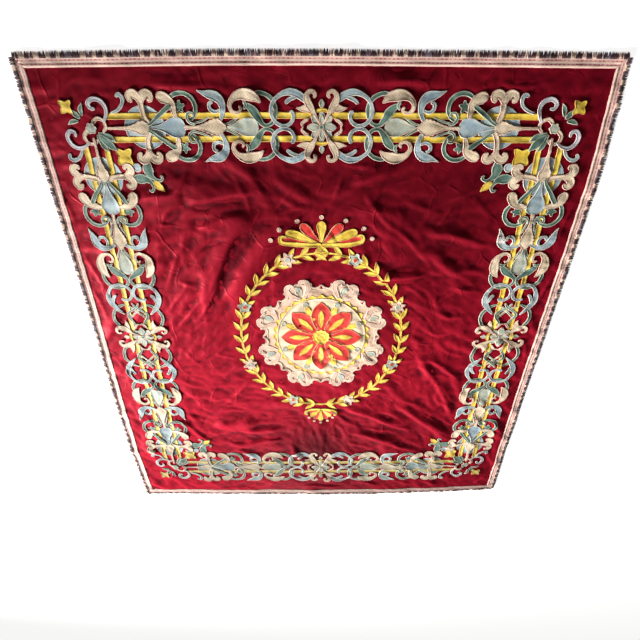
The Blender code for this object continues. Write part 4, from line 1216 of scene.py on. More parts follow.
# Motifs of one side of the border. Along runs from the middle of the side to its corner, across from
# the middle line of the band outwards.
ROSETTE: tuple[tuple[Copies, Shape], ...] = (
    (ONCE, Bloom(SILVER, 2, 0, 0, 50, 8, 0.3)),
    (EDGES, Stroke(GOLD, 3, (
        (-26, 44, 5), (-14, 51, 12), (0, 53, 13), (14, 51, 12), (26, 44, 5),
    ))),
    (EDGES, Stroke(SILVER, 3, ((0, 58, 8), (0, 71, 20), (0, 85, 4)))),
    (ENDS, Stroke(SILVER, 4, ((8, 0, 8), (24, 0, 28), (40, 0, 20), (50, 0, 4)))),
    (EDGES, Stroke(SILVER, 4, ((0, 8, 6), (0, 24, 20), (0, 40, 4)))),
    (QUARTERS, Stroke(CREAM, 4, ((34, 56, 20), (54, 58, 25), (72, 57, 14), (86, 60, 2)))),
    (QUARTERS, Stroke(CREAM, 4, ((44, 26, 7), (58, 19, 12), (68, 7, 8), (64, 0, 3)))),
    (QUARTERS, Stroke(CREAM, 5, (
        (0, 0, 5), (12, 20, 7), (24, 42, 12), (37, 60, 24), (47, 78, 25), (50, 94, 18), (42, 106, 15),
        (28, 107, 13), (21, 96, 12), (29, 89, 10),
    ))),
    (ONCE, Bloom(GREEN, 6, 0, 0, 8)),
)

LINKS: tuple[tuple[Copies, Shape], ...] = (
    (QUARTERS, Stroke(GREEN, 2, (
        (52, 84, 12), (72, 98, 15), (100, 104, 15), (128, 97, 15), (148, 80, 15), (160, 60, 12),
        (164, 46, 8),
    ))),
    (QUARTERS, Stroke(GREEN, 3, (
        (60, 16, 8), (80, 24, 11), (98, 38, 13), (116, 42, 13), (130, 30, 11), (142, 12, 11),
        (156, -6, 11), (172, -14, 8),
    ))),
    (QUARTERS, Stroke(SILVER, 2, (
        (96, 42, 9), (108, 24, 10), (124, 8, 10), (138, -8, 10), (150, -22, 10), (158, -36, 7),
    ))),
)

SCROLLS: tuple[tuple[Copies, Shape], ...] = (
    (QUARTERS, Stroke(GREEN, 2, (
        (330, 84, 10), (305, 103, 14), (280, 100, 15), (256, 84, 15), (245, 58, 15), (248, 30, 14),
        (262, 10, 13), (284, 6, 14), (302, 24, 22), (318, 48, 30), (338, 66, 18), (354, 74, 3),
    ))),
    (QUARTERS, Stroke(BLUE, 3, (
        (116, 56, 6), (138, 76, 16), (164, 96, 24), (196, 106, 22), (226, 98, 15), (252, 76, 13),
        (260, 46, 13), (246, 16, 13), (218, 4, 13), (194, 14, 13), (185, 36, 13), (194, 52, 15),
    ))),
    (QUARTERS, Stroke(BLUE, 3, ((172, 92, 12), (196, 84, 14), (212, 72, 12)))),
    (QUARTERS, Stroke(CREAM, 4, (
        (292, 74, 5), (308, 88, 24), (334, 98, 38), (362, 98, 32), (386, 86, 20), (397, 66, 15),
        (388, 48, 13), (370, 46, 11), (360, 56, 10), (367, 64, 9),
    ))),
    (QUARTERS, Stroke(GREEN, 3, ((352, 84, 6), (344, 66, 12), (352, 54, 6)))),
    (ENDS, Stroke(SILVER, 2, (
        (304, 0, 36), (312, 0, 54), (330, 0, 60), (350, 0, 60), (370, 0, 46), (392, 0, 22), (410, 0, 8),
        (420, 0, 3),
    ))),
    (QUARTERS, Stroke(GREEN, 1, ((368, 34, 4), (384, 23, 9), (404, 12, 9), (424, 8, 4)))),
    (QUARTERS, Stroke(BLUE, 3, (
        (502, 112, 2), (482, 104, 15), (462, 99, 28), (441, 93, 32), (425, 77, 26), (421, 57, 21),
        (426, 36, 15), (438, 14, 12),
    ))),
    (QUARTERS, Stroke(BLUE, 3, (
        (428, 54, 9), (448, 47, 12), (465, 57, 13), (463, 74, 12), (451, 77, 10),
    ))),
    (ENDS, Stroke(CREAM, 4, (
        (414, 0, 8), (428, 0, 42), (442, 0, 62), (458, 0, 58), (476, 0, 44), (496, 0, 26), (516, 0, 15),
        (540, 0, 14), (560, 0, 20),
    ), teeth=11)),
    (QUARTERS, Stroke(GREEN, 2, ((466, 33, 3), (488, 23, 8), (512, 16, 8), (532, 15, 3)))),
    (QUARTERS, Stroke(GREEN, 2, (
        (548, 18, 10), (526, 30, 14), (512, 56, 15), (519, 84, 16), (544, 103, 16), (574, 102, 16),
        (600, 86, 12),
    ))),
    (QUARTERS, Bloom(GREEN, 2, 566, 64, 21, 5, 0.42, 20)),
    (QUARTERS, Stroke(GREEN, 4, (
        (518, 10, 8), (536, 15, 10), (546, 31, 10), (537, 46, 10), (523, 43, 9), (525, 32, 8),
    ))),
    (ENDS, Stroke(BLUE, 3, (
        (552, 0, 30), (562, 0, 54), (578, 0, 66), (594, 0, 66), (610, 0, 54), (626, 0, 34), (648, 0, 18),
        (676, 0, 10), (692, 0, 6),
    ))),
    (QUARTERS, Stroke(CREAM, 4, (
        (582, 30, 14), (586, 50, 20), (592, 72, 28), (606, 87, 34), (624, 93, 36), (639, 91, 22),
    ))),
    (QUARTERS, Stroke(GREEN, 5, (
        (596, 68, 17), (620, 52, 17), (645, 34, 15), (668, 16, 12), (692, 5, 8),
    ))),
    (ENDS, Bloom(BLUE, 0, 692, 0, 70)),
    (QUARTERS, Stroke(CREAM, 4, ((674, 12, 12), (688, 30, 19), (693, 54, 18), (694, 78, 24)))),
    (QUARTERS, Stroke(CREAM, 4, (
        (693, 70, 18), (700, 93, 27), (716, 104, 30), (729, 97, 26), (727, 85, 18), (718, 84, 12),
    ))),
    (QUARTERS, Stroke(CREAM, 4, (
        (695, 70, 18), (688, 93, 27), (672, 104, 30), (659, 97, 26), (661, 85, 18), (670, 84, 12),
    ))),
    (ENDS, Stroke(CREAM, 5, (
        (676, 0, 14), (686, 0, 42), (698, 0, 52), (710, 0, 48), (724, 0, 34), (742, 0, 20), (768, 0, 13),
        (796, 0, 11), (826, 0, 11),
    ), teeth=9)),
    (ENDS, Stroke(BLUE, 3, (
        (800, 46, 8), (774, 56, 11), (757, 72, 12), (752, 90, 14), (762, 103, 14), (773, 95, 11),
    ))),
)

# The corner, drawn from the middle of its knot: along and across both run outwards, and each motif is
# repeated with the two swapped.
CORNER_PAIRS: tuple[Shape, ...] = (
    Stroke(GREEN, 3, (
        (-98, -171, 6), (-116, -170, 27), (-138, -169, 37), (-158, -173, 24), (-171, -187, 14),
        (-176, -203, 11), (-167, -215, 10), (-157, -208, 9),
    )),
    Stroke(GREEN, 3, ((-20, -14, 6), (-38, -24, 20), (-58, -30, 20), (-76, -44, 3))),
    Stroke(LILAC, 4, (
        (18, -46, 8), (40, -60, 12), (64, -63, 14), (84, -50, 15), (90, -26, 15), (76, -8, 14),
        (61, -14, 12), (61, -28, 9),
    )),
    Stroke(CREAM, 3, (
        (0, 0, 6), (18, -10, 14), (30, -26, 14), (22, -46, 12), (2, -50, 12), (-14, -36, 10),
    )),
    Stroke(GREEN, 3, ((38, 22, 8), (58, 22, 17), (78, 12, 3))),
)
CORNER_SINGLES: tuple[Shape, ...] = (
    Bloom(GOLD, 3, -93, -93, 38, 4, 0.42, 45, 1.3),
    Bloom(BLUE, 2, -130, -130, 16),
    Stroke(GOLD, 4, ((-178, -178, 8), (-189, -189, 27), (-200, -200, 25), (-214, -214, 3))),
    Stroke(GREEN, 4, ((-22, -22, 8), (-40, -40, 28), (-56, -56, 26), (-74, -74, 3))),
    Bloom(GOLD, 4, 70, 66, 29, 4, 0.42, 45, 1.3),
    Stroke(GREEN, 2, ((30, 30, 8), (44, 44, 20), (60, 60, 4))),
    Bloom(SILVER, 5, 0, 0, 19, 6, 0.2),
)


@dataclass(frozen=True)
class Side:
    """One side of the border.

    Attributes:
        name: Of the side.
        band: From the middle of the design to the middle line of the band.
        turn: Of the side from the right one, in degrees.
        crossing: From the middle of the side to the middle of its corner knots.
        shorter: How much nearer its middle the scrolls lie than on the long sides.
    """

    name: str
    band: float
    turn: float
    crossing: float
    shorter: float

    def place(self, sign_along: int, sign_across: int, shift: float) -> Callable[[Array], Array]:
        """Gives the function that puts a motif on this side.

        Args:
            sign_along: -1 for a copy on the other half of the side.
            sign_across: -1 for a copy on the inner half of the band.
            shift: Taken off every distance along.

        Returns:
            A function from points along and across to flat points of the cloth.
        """

        def put(points: Array) -> Array:
            """Mirrors the points, shifts them and turns them to their side."""
            along = sign_along * (points[..., 0] - shift)
            out = self.band + sign_across * points[..., 1]
            return CLOTH.centred(self.turned(out, along))

        return put

    def turned(self, out: Array, along: Array) -> Array:
        """Turns points given outwards and along to their side of the cloth."""
        turn = math.radians(self.turn)
        x = out * math.cos(turn) - along * math.sin(turn)
        y = out * math.sin(turn) + along * math.cos(turn)
        return np.stack([x, y], axis=-1)


@dataclass
class Border:
    """The applique border: two rails in each side, the scrolls over them and the corners."""

    side_band: float = 0.788
    end_band: float = 0.855
    end_shorter: float = 0.090
    rail_width_mm: float = 21.0
    rail_offset_mm: float = 36.5
    rail_start_mm: float = 34.0
    rail_stop: float = 0.052

    def sides(self) -> tuple[Side, ...]:
        """The four sides, the short ones without their first links."""
        return (
            Side("right", self.side_band, 0, self.end_band, 0.0),
            Side("top", self.end_band, 90, self.side_band, self.end_shorter),
            Side("left", self.side_band, 180, self.end_band, 0.0),
            Side("bottom", self.end_band, -90, self.side_band, self.end_shorter),
        )

    def side_patches(self, side: Side) -> dict[str, list[Patch]]:
        """Builds every motif of one side, sorted by the piece that it belongs to."""
        made: dict[str, list[Patch]] = {}
        reach = (side.crossing - self.rail_stop) / MM
        run = (self.rail_start_mm, reach / 2, reach)
        rail = Stroke(GOLD, 1, tuple((along, self.rail_offset_mm, self.rail_width_mm) for along in run))
        made["rails"] = [rail.patch(side.place(*signs, 0.0)) for signs in QUARTERS.value]
        motifs = [(ROSETTE, 0.0), (SCROLLS, side.shorter)] + ([] if side.shorter else [(LINKS, 0.0)])
        for table, shift in motifs:
            for copies, shape in table:
                for signs in copies.value:
                    patch = shape.patch(side.place(*signs, shift))
                    made.setdefault(shape.silk.value, []).append(patch)
        return made

    def corner_patches(self, sign_x: int, sign_y: int) -> dict[str, list[Patch]]:
        """Builds the motifs of one corner, sorted by silk."""

        def put(points: Array) -> Array:
            """Moves points from the knot to this corner."""
            knot = np.array([self.side_band, self.end_band])
            return CLOTH.centred(np.array([sign_x, sign_y]) * (knot + points))

        def put_swapped(points: Array) -> Array:
            """The same for the copy with along and across swapped."""
            return put(points[..., ::-1])

        made: dict[str, list[Patch]] = {}
        for shape in CORNER_PAIRS:
            made.setdefault(shape.silk.value, []).extend([shape.patch(put), shape.patch(put_swapped)])
        for shape in CORNER_SINGLES:
            made.setdefault(shape.silk.value, []).append(shape.patch(put))
        return made


# ---------------------------------------------------------------- the pieces


def finish_piece(piece: Object, slot: str, nodes: list[str]) -> Object:
    """Sets a piece riding on the textile and hides the parts that it stands for.

    Args:
        piece: The finished object.
        slot: The record's material slot; not used.
        nodes: The parts that it replaces, or none.

    Returns:
        The same object.
    """
    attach(piece, "root")
    if nodes:
        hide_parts(*nodes)
    LOG.info("%s: %d triangles", piece.name, len(piece.data.loops) - 2 * len(piece.data.polygons))
    return piece


@dataclass
class Needlework:
    """Sews the applique on: makes each material once and keeps every sewn piece in order.

    Attributes:
        dyed: The silks' materials, made when they are first needed.
        sewn: Every piece on the ground cloth.
    """

    dyed: dict[Silk, Material] = field(default_factory=dict)
    sewn: list[Object] = field(default_factory=list)

    def sew(self, name: str, silk: Silk, patches: list[Patch], nodes: list[str]) -> None:
        """Makes one piece of applique.

        Args:
            name: Of the piece.
            silk: The cloth that it is cut from.
            patches: Its forms.
            nodes: The parts that it stands for.
        """
        if silk not in self.dyed:
            self.dyed[silk] = SILKS[silk].material()
        piece = mesh_object(name, patches, self.dyed[silk])
        self.sewn.append(finish_piece(piece, SILKS[silk].slot, nodes))

    def sew_centre(self, name: str, forms: dict[str, list[Shape]], stands_for: dict[str, list[str]]) -> None:
        """Makes one piece of each group of shapes, in the silk of its first one.

        Args:
            name: Of each piece, with {} for its group's.
            forms: The shapes of each group, drawn round the middle of the design.
            stands_for: The parts that a group's piece stands for.
        """
        for key, shapes in forms.items():
            patches = [shape.patch(CLOTH.centred) for shape in shapes]
            self.sew(name.format(key), shapes[0].silk, patches, stands_for.get(key, []))

    def sew_by_silk(self, name: str, forms: dict[str, list[Patch]], stands_for: dict[str, list[str]]) -> None:
        """Makes one piece for each silk of a motif.

        Args:
            name: What each piece's name starts with.
            forms: The forms of each silk. The rails are gold, in a piece of their own.
            stands_for: The parts that a silk's piece stands for.
        """
        for key, patches in forms.items():
            silk = GOLD if key == "rails" else Silk(key)
            self.sew(f"{name}_{key}", silk, patches, stands_for.get(key, []))


# Middle x, middle y, half width, half height and strength of each patch of painted shade. Where its
# strength is below 0, it takes painted shade away.
PAINTED_SHADE_PATCHES = (
    (-0.01, -0.69, 0.20, 0.18, 0.90),
    (-0.45, -0.69, 0.16, 0.07, 0.30),
    (0.42, -0.58, 0.22, 0.14, 0.22),
    (0.60, -0.10, 0.12, 0.15, -0.22),
    (0.86, 0.05, 0.20, 0.42, -0.32),
    (0.28, -0.04, 0.12, 0.16, 0.16),
    (-0.02, -1.02, 0.22, 0.05, 0.32),
    (0.30, -1.00, 0.60, 0.08, 0.20),
    (0.02, 0.68, 0.30, 0.13, 0.16),
    (0.50, 0.62, 0.22, 0.16, 0.22),
    (-0.45, 0.68, 0.22, 0.10, 0.18),
    (0.47, -0.72, 0.20, 0.08, 0.22),
    (0.00, -0.88, 1.10, 0.12, 0.42),
)


@dataclass
class Ground:
    """The red ground cloth.

    Attributes:
        cell: The top surface's grid, about.
        coarse: How many top cells lie over one cell of the underside.
        aged_most: How much painted shade the cloth gets at the upper right.
    """

    cell: float = 7.0 * MM
    coarse: int = 4
    aged_most: float = 0.48

    def aged(self, points: Array) -> Array:
        """How much painted shade the cloth gets: more towards the upper right, where the lamps light it less,
        and in soft patches.

        Args:
            points: Places on the cloth, one row each.

        Returns:
            A share from 0 to 1 for each place.
        """
        x, y = points[:, 0], points[:, 1]
        total = self.aged_most * np.clip((0.40 * x + 0.95 * y + 0.30) / 1.1, 0, 1)
        for middle_x, middle_y, wide, tall, amount in PAINTED_SHADE_PATCHES:
            total += amount * np.exp(-(((x - middle_x) / wide) ** 2) - ((y - middle_y) / tall) ** 2)
        return np.clip(total, 0, 1)

    def sheet(self) -> Object:
        """Makes the closed sheet: a fine top, a coarser underside and a rim between them."""
        half = CLOTH.ground_half
        counts = [self.coarse * round(2 * reach / self.cell / self.coarse) for reach in half]
        x, y = (np.linspace(-reach, reach, count + 1) for reach, count in zip(half, counts))
        flat = np.stack(np.meshgrid(x, y), axis=-1)
        top = CLOTH.lay(flat, 0.0)
        low = CLOTH.lay(flat[:: self.coarse, :: self.coarse], 0.0)
        low[..., 2] -= CLOTH.thickness
        first = top[..., 0].size
        over = np.arange(first).reshape(top.shape[:2])
        under = first + np.arange(low[..., 0].size).reshape(low.shape[:2])
        sides = np.concatenate([grid_quads(over), grid_quads(under)[:, ::-1]])
        # The rim has a fan of triangles over each coarse cell and a single one under it.
        rims = []
        for upper, lower in (
            (over[0], under[0]),
            (over[:, -1], under[:, -1]),
            (over[-1, ::-1], under[-1, ::-1]),
            (over[::-1, 0], under[::-1, 0]),
        ):
            rims.append(np.stack([np.repeat(lower[:-1], self.coarse), upper[1:], upper[:-1]], axis=-1))
            joints = upper[self.coarse :: self.coarse][: len(lower) - 1]
            rims.append(np.stack([lower[:-1], lower[1:], joints], axis=-1))
        points = np.concatenate([top.reshape(-1, 3), low.reshape(-1, 3)])
        mesh = bpy.data.meshes.new("ground_cloth_sheet")
        mesh.from_pydata(points.tolist(), [], [*sides.tolist(), *np.concatenate(rims).tolist()])
        mesh.shade_smooth()
        # hollow carries the painted fold shade and crest highlight; aged carries painted shade in broad
        # patches.
        fill_layers(mesh, hollow=CLOTH.map.at(points[:, 0], points[:, 1])[:, 3], aged=self.aged(points))
        made = placed(mesh, crimson_material())
        made.cycles.shadow_terminator_geometry_offset = 0.3
        return finish_piece(made, "crimson_cloth", ["ground_cloth"])


class Tone(Enum):
    """The fringe's colours, each with its place on the fringe's colour ramp."""

    PLUM = 0.1
    CREAM = 0.3
    ROSE = 0.5
    SLATE = 0.7
    RED = 0.9


@dataclass
class Trim:
    """The galloon along the cloth's edge and the fringe outside it.

    Attributes:
        galloon_width: Of the woven galloon.
        galloon_step: Between two sections of it, about.
        galloon_section: Share of the width and height in millimetres, over the three ribs and back under.
        strand_pitch: Between two strands of the fringe.
        strand: Share of the drop, of the thickness and of the lift at each ring of a strand.
        sewn_lift: How high a strand lies where it is sewn over the galloon's edge.
        splay: How far a strand's tip usually strays.
        block: From one dark block of colour to the next.
        dark_share: How much of that is dark.
        stray_share: How many strands have a colour of their own.
        seed: Of the random draws.
    """

    galloon_width: float = 32 * MM
    galloon_step: float = 8 * MM
    galloon_section: tuple[tuple[float, float], ...] = (
        (0.0, -0.4), (0.03, 1.5), (0.16, 2.4), (0.30, 2.1), (0.34, 1.5), (0.50, 2.5), (0.66, 1.5),
        (0.70, 2.1), (0.84, 2.4), (0.97, 1.5), (1.0, -0.4), (0.67, -0.4), (0.33, -0.4),
    )
    strand_pitch: float = 3.1 * MM
    strand: tuple[tuple[float, float, float], ...] = (
        (-0.36, 0.6, 1.0), (0.0, 1.0, 0.85), (0.6, 0.95, 0.35), (1.0, 0.3, 0.1),
    )
    sewn_lift: float = 4.4 * MM
    splay: float = 1.5 * MM
    block: float = 38 * MM
    dark_share: float = 0.60
    stray_share: float = 0.16
    seed: int = 7

    @staticmethod
    def edge_of(side: Side) -> tuple[float, float]:
        """The distance of a side's ground edge from the middle, and half its length."""
        across, along = CLOTH.ground_half
        return (across, along) if side.turn % 180 == 0 else (along, across)

    def galloon(self, side: Side, material: Material) -> Object:
        """Makes one length of galloon, three ribs across, mitred at its ends and closed underneath.

        Args:
            side: The side that it runs along.
            material: Its weave.

        Returns:
            The finished piece.
        """
        out, half = self.edge_of(side)
        steps = int(2 * half / self.galloon_step)
        across, rise = np.array(self.galloon_section).T[..., None]
        along = np.linspace(-1, 1, steps + 1)[None] * (half - self.galloon_width * across)
        inwards = np.broadcast_to(self.galloon_width * across, along.shape)
        points = CLOTH.lay(side.turned(out - inwards, along), np.broadcast_to(rise * MM, along.shape))
        rim = np.minimum(inwards, self.galloon_width - inwards)
        patch = Patch(points, np.stack([along, inwards], axis=-1), rim).capped()
        made = mesh_object(f"galloon_{side.name}_braid", [patch], material)
        return finish_piece(made, "galloon_weave", [f"galloon_{side.name}"])

    def tones(self, start: Array, half: float, chance: np.random.Generator) -> Array:
        """The colour of each strand: dark blocks between cream ones, every fifth slate, and some strays.

        Args:
            start: Place of each strand along the side.
            half: Half the side's length.
            chance: The side's random draws.

        Returns:
            A place on the colour ramp for each strand.
        """
        place = (start + half) / self.block + 0.12 * np.sin(start / self.block * 1.7)
        pale = np.where(np.floor(place) % 5 == 1, Tone.SLATE.value, Tone.CREAM.value)
        tones = np.where(place % 1.0 < self.dark_share, Tone.PLUM.value, pale)
        stray = chance.random(len(start)) < self.stray_share
        return np.where(stray, chance.choice([tone.value for tone in Tone], len(start)), tones)

    def fringe(self, side: Side, material: Material) -> Object:
        """Makes one length of fringe: tapered strands, four-sided, in blocks of colour.

        Args:
            side: The side that it hangs from.
            material: Its silk.

        Returns:
            The finished piece.
        """
        chance = np.random.default_rng(self.seed + int(side.turn) % 5)
        out, half = self.edge_of(side)
        count = int(2 * half / self.strand_pitch)
        start = np.linspace(-half + 2 * MM, half - 2 * MM, count)
        drop = CLOTH.fringe_drop * chance.uniform(0.88, 1.0, count)[:, None]
        splay = self.splay * chance.normal(0, 1, count)[:, None]
        thick = chance.uniform(1.6, 2.3, count)[:, None] * MM
        share, slim, lift = np.array(self.strand).T
        base = CLOTH.lay(side.turned(out + drop * share, start[:, None] + splay * share), 0.0)
        base[..., 2] += -CLOTH.thickness + thick * slim * 0.75 + self.sewn_lift * lift
        sideways = side.turned(np.zeros(1), np.ones(1))
        ring = np.array([[1, 0], [0, 1], [-1, 0], [0, -1]], float)
        radius = (thick * slim)[:, None]
        points = np.repeat(base[:, None], len(ring), axis=1)
        points[..., :2] += sideways * (ring[:, :1] * radius)[..., None]
        points[..., 2] += ring[:, 1:] * radius * 0.7
        blank_uv, blank_rim = np.zeros((*points.shape[1:3], 2)), np.zeros(points.shape[1:3])
        tones = self.tones(start, half, chance)
        blanks = (blank_uv, blank_rim)
        patches = [Patch(grid, *blanks, float(tone)).capped() for grid, tone in zip(points, tones)]
        made = mesh_object(f"fringe_{side.name}_strands", patches, material)
        return finish_piece(made, "fringe_silk", [f"fringe_{side.name}"])


# Sections of the medallion's strokes, in millimetres: distance along and width, or across as well.
PETAL = ((0.0, 0.35), (0.3, 0.85), (0.6, 1.0), (0.85, 0.6), (1.0, 0.06))
WREATH_LEAF = ((0, 6), (16, 18), (32, 21), (46, 13), (58, 1.5))
PALMETTE_SCROLL = ((0, 0, 18), (38, 0, 20), (70, 5, 20), (92, 20, 17), (90, 38, 14), (78, 36, 11))
# Distance from the middle, angle from the lobe's middle in radians, and width.
LOBE_SCROLL = (
    (206, 0.03, 12), (226, 0.11, 19), (252, 0.175, 23), (276, 0.16, 22), (282, 0.08, 18), (266, 0.045, 13),
)
LOBE_VOLUTE = ((258, 0.39, 5), (243, 0.33, 13), (241, 0.26, 15), (256, 0.215, 12), (270, 0.235, 10))


@dataclass
class Medallion:
    """The round centre: a lobed cartouche, a flower on it, a leaf wreath round it and two palmettes.

    Attributes:
        lobes: Number of the cartouche's lobes and of the flower's petals.
        wreath_half_width_mm, wreath_half_height_mm: Of the oval that the wreath's stem follows.
        wreath_pairs: Number of its pairs of leaves.
        leaf_lean: How far each leaf turns from the stem, in radians.
        palmette_gap_mm: From the stem to a palmette's foot.
        palmette_leaves: Number of leaves in its fan.
        palmette_spread: Between two of them, in degrees.
    """

    lobes: int = 8
    wreath_half_width_mm: float = 352.0
    wreath_half_height_mm: float = 398.0
    wreath_pairs: int = 40
    leaf_lean: float = 0.62
    palmette_gap_mm: float = 34.0
    palmette_leaves: int = 7
    palmette_spread: float = 25.0

    @staticmethod
    def petal(silk: Silk, level: float, angle: float, start: float, length: float, width: float) -> Stroke:
        """A pointed petal that points away from the middle.

        Args:
            silk: Its cloth.
            level: Its layer.
            angle: Its direction, in radians.
            start: Distance of its foot from the middle, in millimetres.
            length: From foot to tip, in millimetres.
            width: At its widest, in millimetres.

        Returns:
            The petal.
        """
        reaches = [(start + share * length, width * wide) for share, wide in PETAL]
        ray = (math.cos(angle), math.sin(angle))
        return Stroke(silk, level, tuple((reach * ray[0], reach * ray[1], wide) for reach, wide in reaches))

    @staticmethod
    def curl(silk: Silk, between: float, flip: int, table: tuple[tuple[float, float, float], ...]) -> Stroke:
        """A scroll beside the line between two petals.

        Args:
            silk: Its cloth.
            between: The direction of that line, in radians.
            flip: On which side of the line it lies, -1 or 1.
            table: Its distance from the middle, angle from the line and width.

        Returns:
            The scroll.
        """
        rows = []
        for reach, swing, width in table:
            turn = between + flip * swing
            rows.append((reach * math.cos(turn), reach * math.sin(turn), width))
        return Stroke(silk, 2, tuple(rows))

    def flower(self) -> dict[str, list[Shape]]:
        """The cartouche and the flower on it, sorted by piece."""
        shapes: dict[str, list[Shape]] = {
            "cartouche": [Bloom(ROSE, 0, 0, 0, 282, self.lobes, 0.15, 22.5, 1.6)],
            "sepals": [Bloom(GOLD, 1.2, 0, 0, 214, 4 * self.lobes, 0.055)],
            "roundel": [Bloom(CREAM, 2.4, 0, 0, 196)],
            "petals": [],
            "button": [Bloom(GOLD, 7, 0, 0, 40, 12, 0.1), Bloom(SILVER, 8, 0, 0, 24, 8, 0.2)],
            "stripes": [],
            "leaflets": [],
            "scrolls": [],
            "volutes": [],
        }
        for step in range(self.lobes):
            angle = 2 * math.pi / self.lobes * step
            between = angle + math.pi / self.lobes
            shapes["petals"].append(self.petal(SCARLET, 5, angle, 28, 150, 88))
            shapes["stripes"].append(self.petal(GOLD, 6.2, angle, 50, 92, 26))
            shapes["sepals"].append(self.petal(GOLD, 4, between, 30, 150, 34))
            bead = (176 * math.cos(between), 176 * math.sin(between))
            shapes["leaflets"].append(Bloom(SILVER, 4.4, *bead, 13))
            shapes["leaflets"].append(self.petal(SILVER, 1.6, between, 224, 44, 30))
            for flip in (-1, 1):
                shapes["scrolls"].append(self.curl(ROSE, between, flip, LOBE_SCROLL))
                shapes["volutes"].append(self.curl(CREAM, between, flip, LOBE_VOLUTE))
        return shapes

    def wreath(self) -> dict[str, list[Shape]]:
        """Leaves in pairs on a stem round the medallion, with a flower at each eighth of the way."""
        shapes: dict[str, list[Shape]] = {"leaves": [], "blooms": [], "buds": [], "berries": []}
        a, b = self.wreath_half_width_mm, self.wreath_half_height_mm
        for step in range(self.wreath_pairs):
            turn = 2 * math.pi * (step + 0.5) / self.wreath_pairs
            x, y = a * math.cos(turn), b * math.sin(turn)
            # The leaves climb on both sides, so the stem's direction turns round on the left half.
            stem = math.atan2(b * math.cos(turn), -a * math.sin(turn))
            stem += 0 if math.cos(turn) > 0 else math.pi
            for heading in (stem - self.leaf_lean, stem + self.leaf_lean):
                ray = (math.cos(heading), math.sin(heading))
                rows = tuple((x + reach * ray[0], y + reach * ray[1], width) for reach, width in WREATH_LEAF)
                shapes["leaves"].append(Stroke(GOLD, 2, rows))
        rounds = np.linspace(0, 2 * math.pi, 49)
        stem_rows = tuple((a * math.cos(turn), b * math.sin(turn), 11) for turn in rounds)
        shapes["leaves"].append(Stroke(GOLD, 1, stem_rows))
        for step in range(8):
            turn = math.pi / 4 * (step + 0.5)
            x, y = a * math.cos(turn), b * math.sin(turn)
            if step % 2:
                shapes["blooms"].append(Bloom(SILVER, 4, x, y, 31, 5, 0.34, math.degrees(turn)))
                shapes["berries"].append(Bloom(SCARLET, 6, x, y, 10))
            else:
                shapes["buds"].append(Bloom(ROSE, 4, x, y, 34, 6, 0.42, math.degrees(turn), 1.3))
                shapes["blooms"].append(Bloom(SILVER, 6, x, y, 12))
        return shapes

    def palmette(self, sign: int) -> dict[str, list[Shape]]:
        """A fan of leaves in gold and scarlet on a gold foot, with a cream bead at each tip.

        Args:
            sign: 1 for the wide one over the wreath, -1 for the small one under it.

        Returns:
            Its forms, sorted by silk.
        """
        shapes: dict[str, list[Shape]] = {"gold": [], "scarlet": [], "cream": []}
        foot = self.wreath_half_height_mm + self.palmette_gap_mm
        wide, tall = (2.05, 1.0) if sign > 0 else (0.95, 0.78)
        for step in range(self.palmette_leaves):
            from_middle = step - self.palmette_leaves // 2
            angle = math.radians(90 + self.palmette_spread * from_middle)
            length = (96 - 4.0 * abs(from_middle)) * tall
            ray = (wide * math.cos(angle), sign * math.sin(angle))
            rows = tuple(
                (reach * ray[0], sign * foot + reach * ray[1], width * (0.6 + 0.35 * wide))
                for reach, width in ((8, 8), (0.4 * length, 17), (0.75 * length, 29), (length, 22))
            )
            silk = GOLD if step % 2 == 1 else SCARLET
            shapes[silk.value].append(Stroke(silk, 2 + step % 2, rows))
            bead = length + 15 * tall
            shapes["cream"].append(Bloom(CREAM, 4, bead * ray[0], sign * foot + bead * ray[1], 9 * tall))
        for flip in (-1, 1):
            rows = tuple(
                (flip * out * wide * 0.85, sign * (foot + up * tall), width * tall)
                for out, up, width in PALMETTE_SCROLL
            )
            shapes["gold"].append(Stroke(GOLD, 4, rows))
        return shapes


# ---------------------------------------------------------------- the studio


# Name, place, aim, side, power and beam in degrees of each soft light. They stand low and towards the
# bottom edge, so that the folds show.
WINDOWS = (
    ("window_left", (-4.1, -2.05, 1.45), (-0.50, -0.45, 0.0), 0.9, 106, 62.0),
    ("window_far", (-0.6, -3.6, 1.7), (0.75, 0.05, 0.0), 1.0, 7.5, 46.0),
)


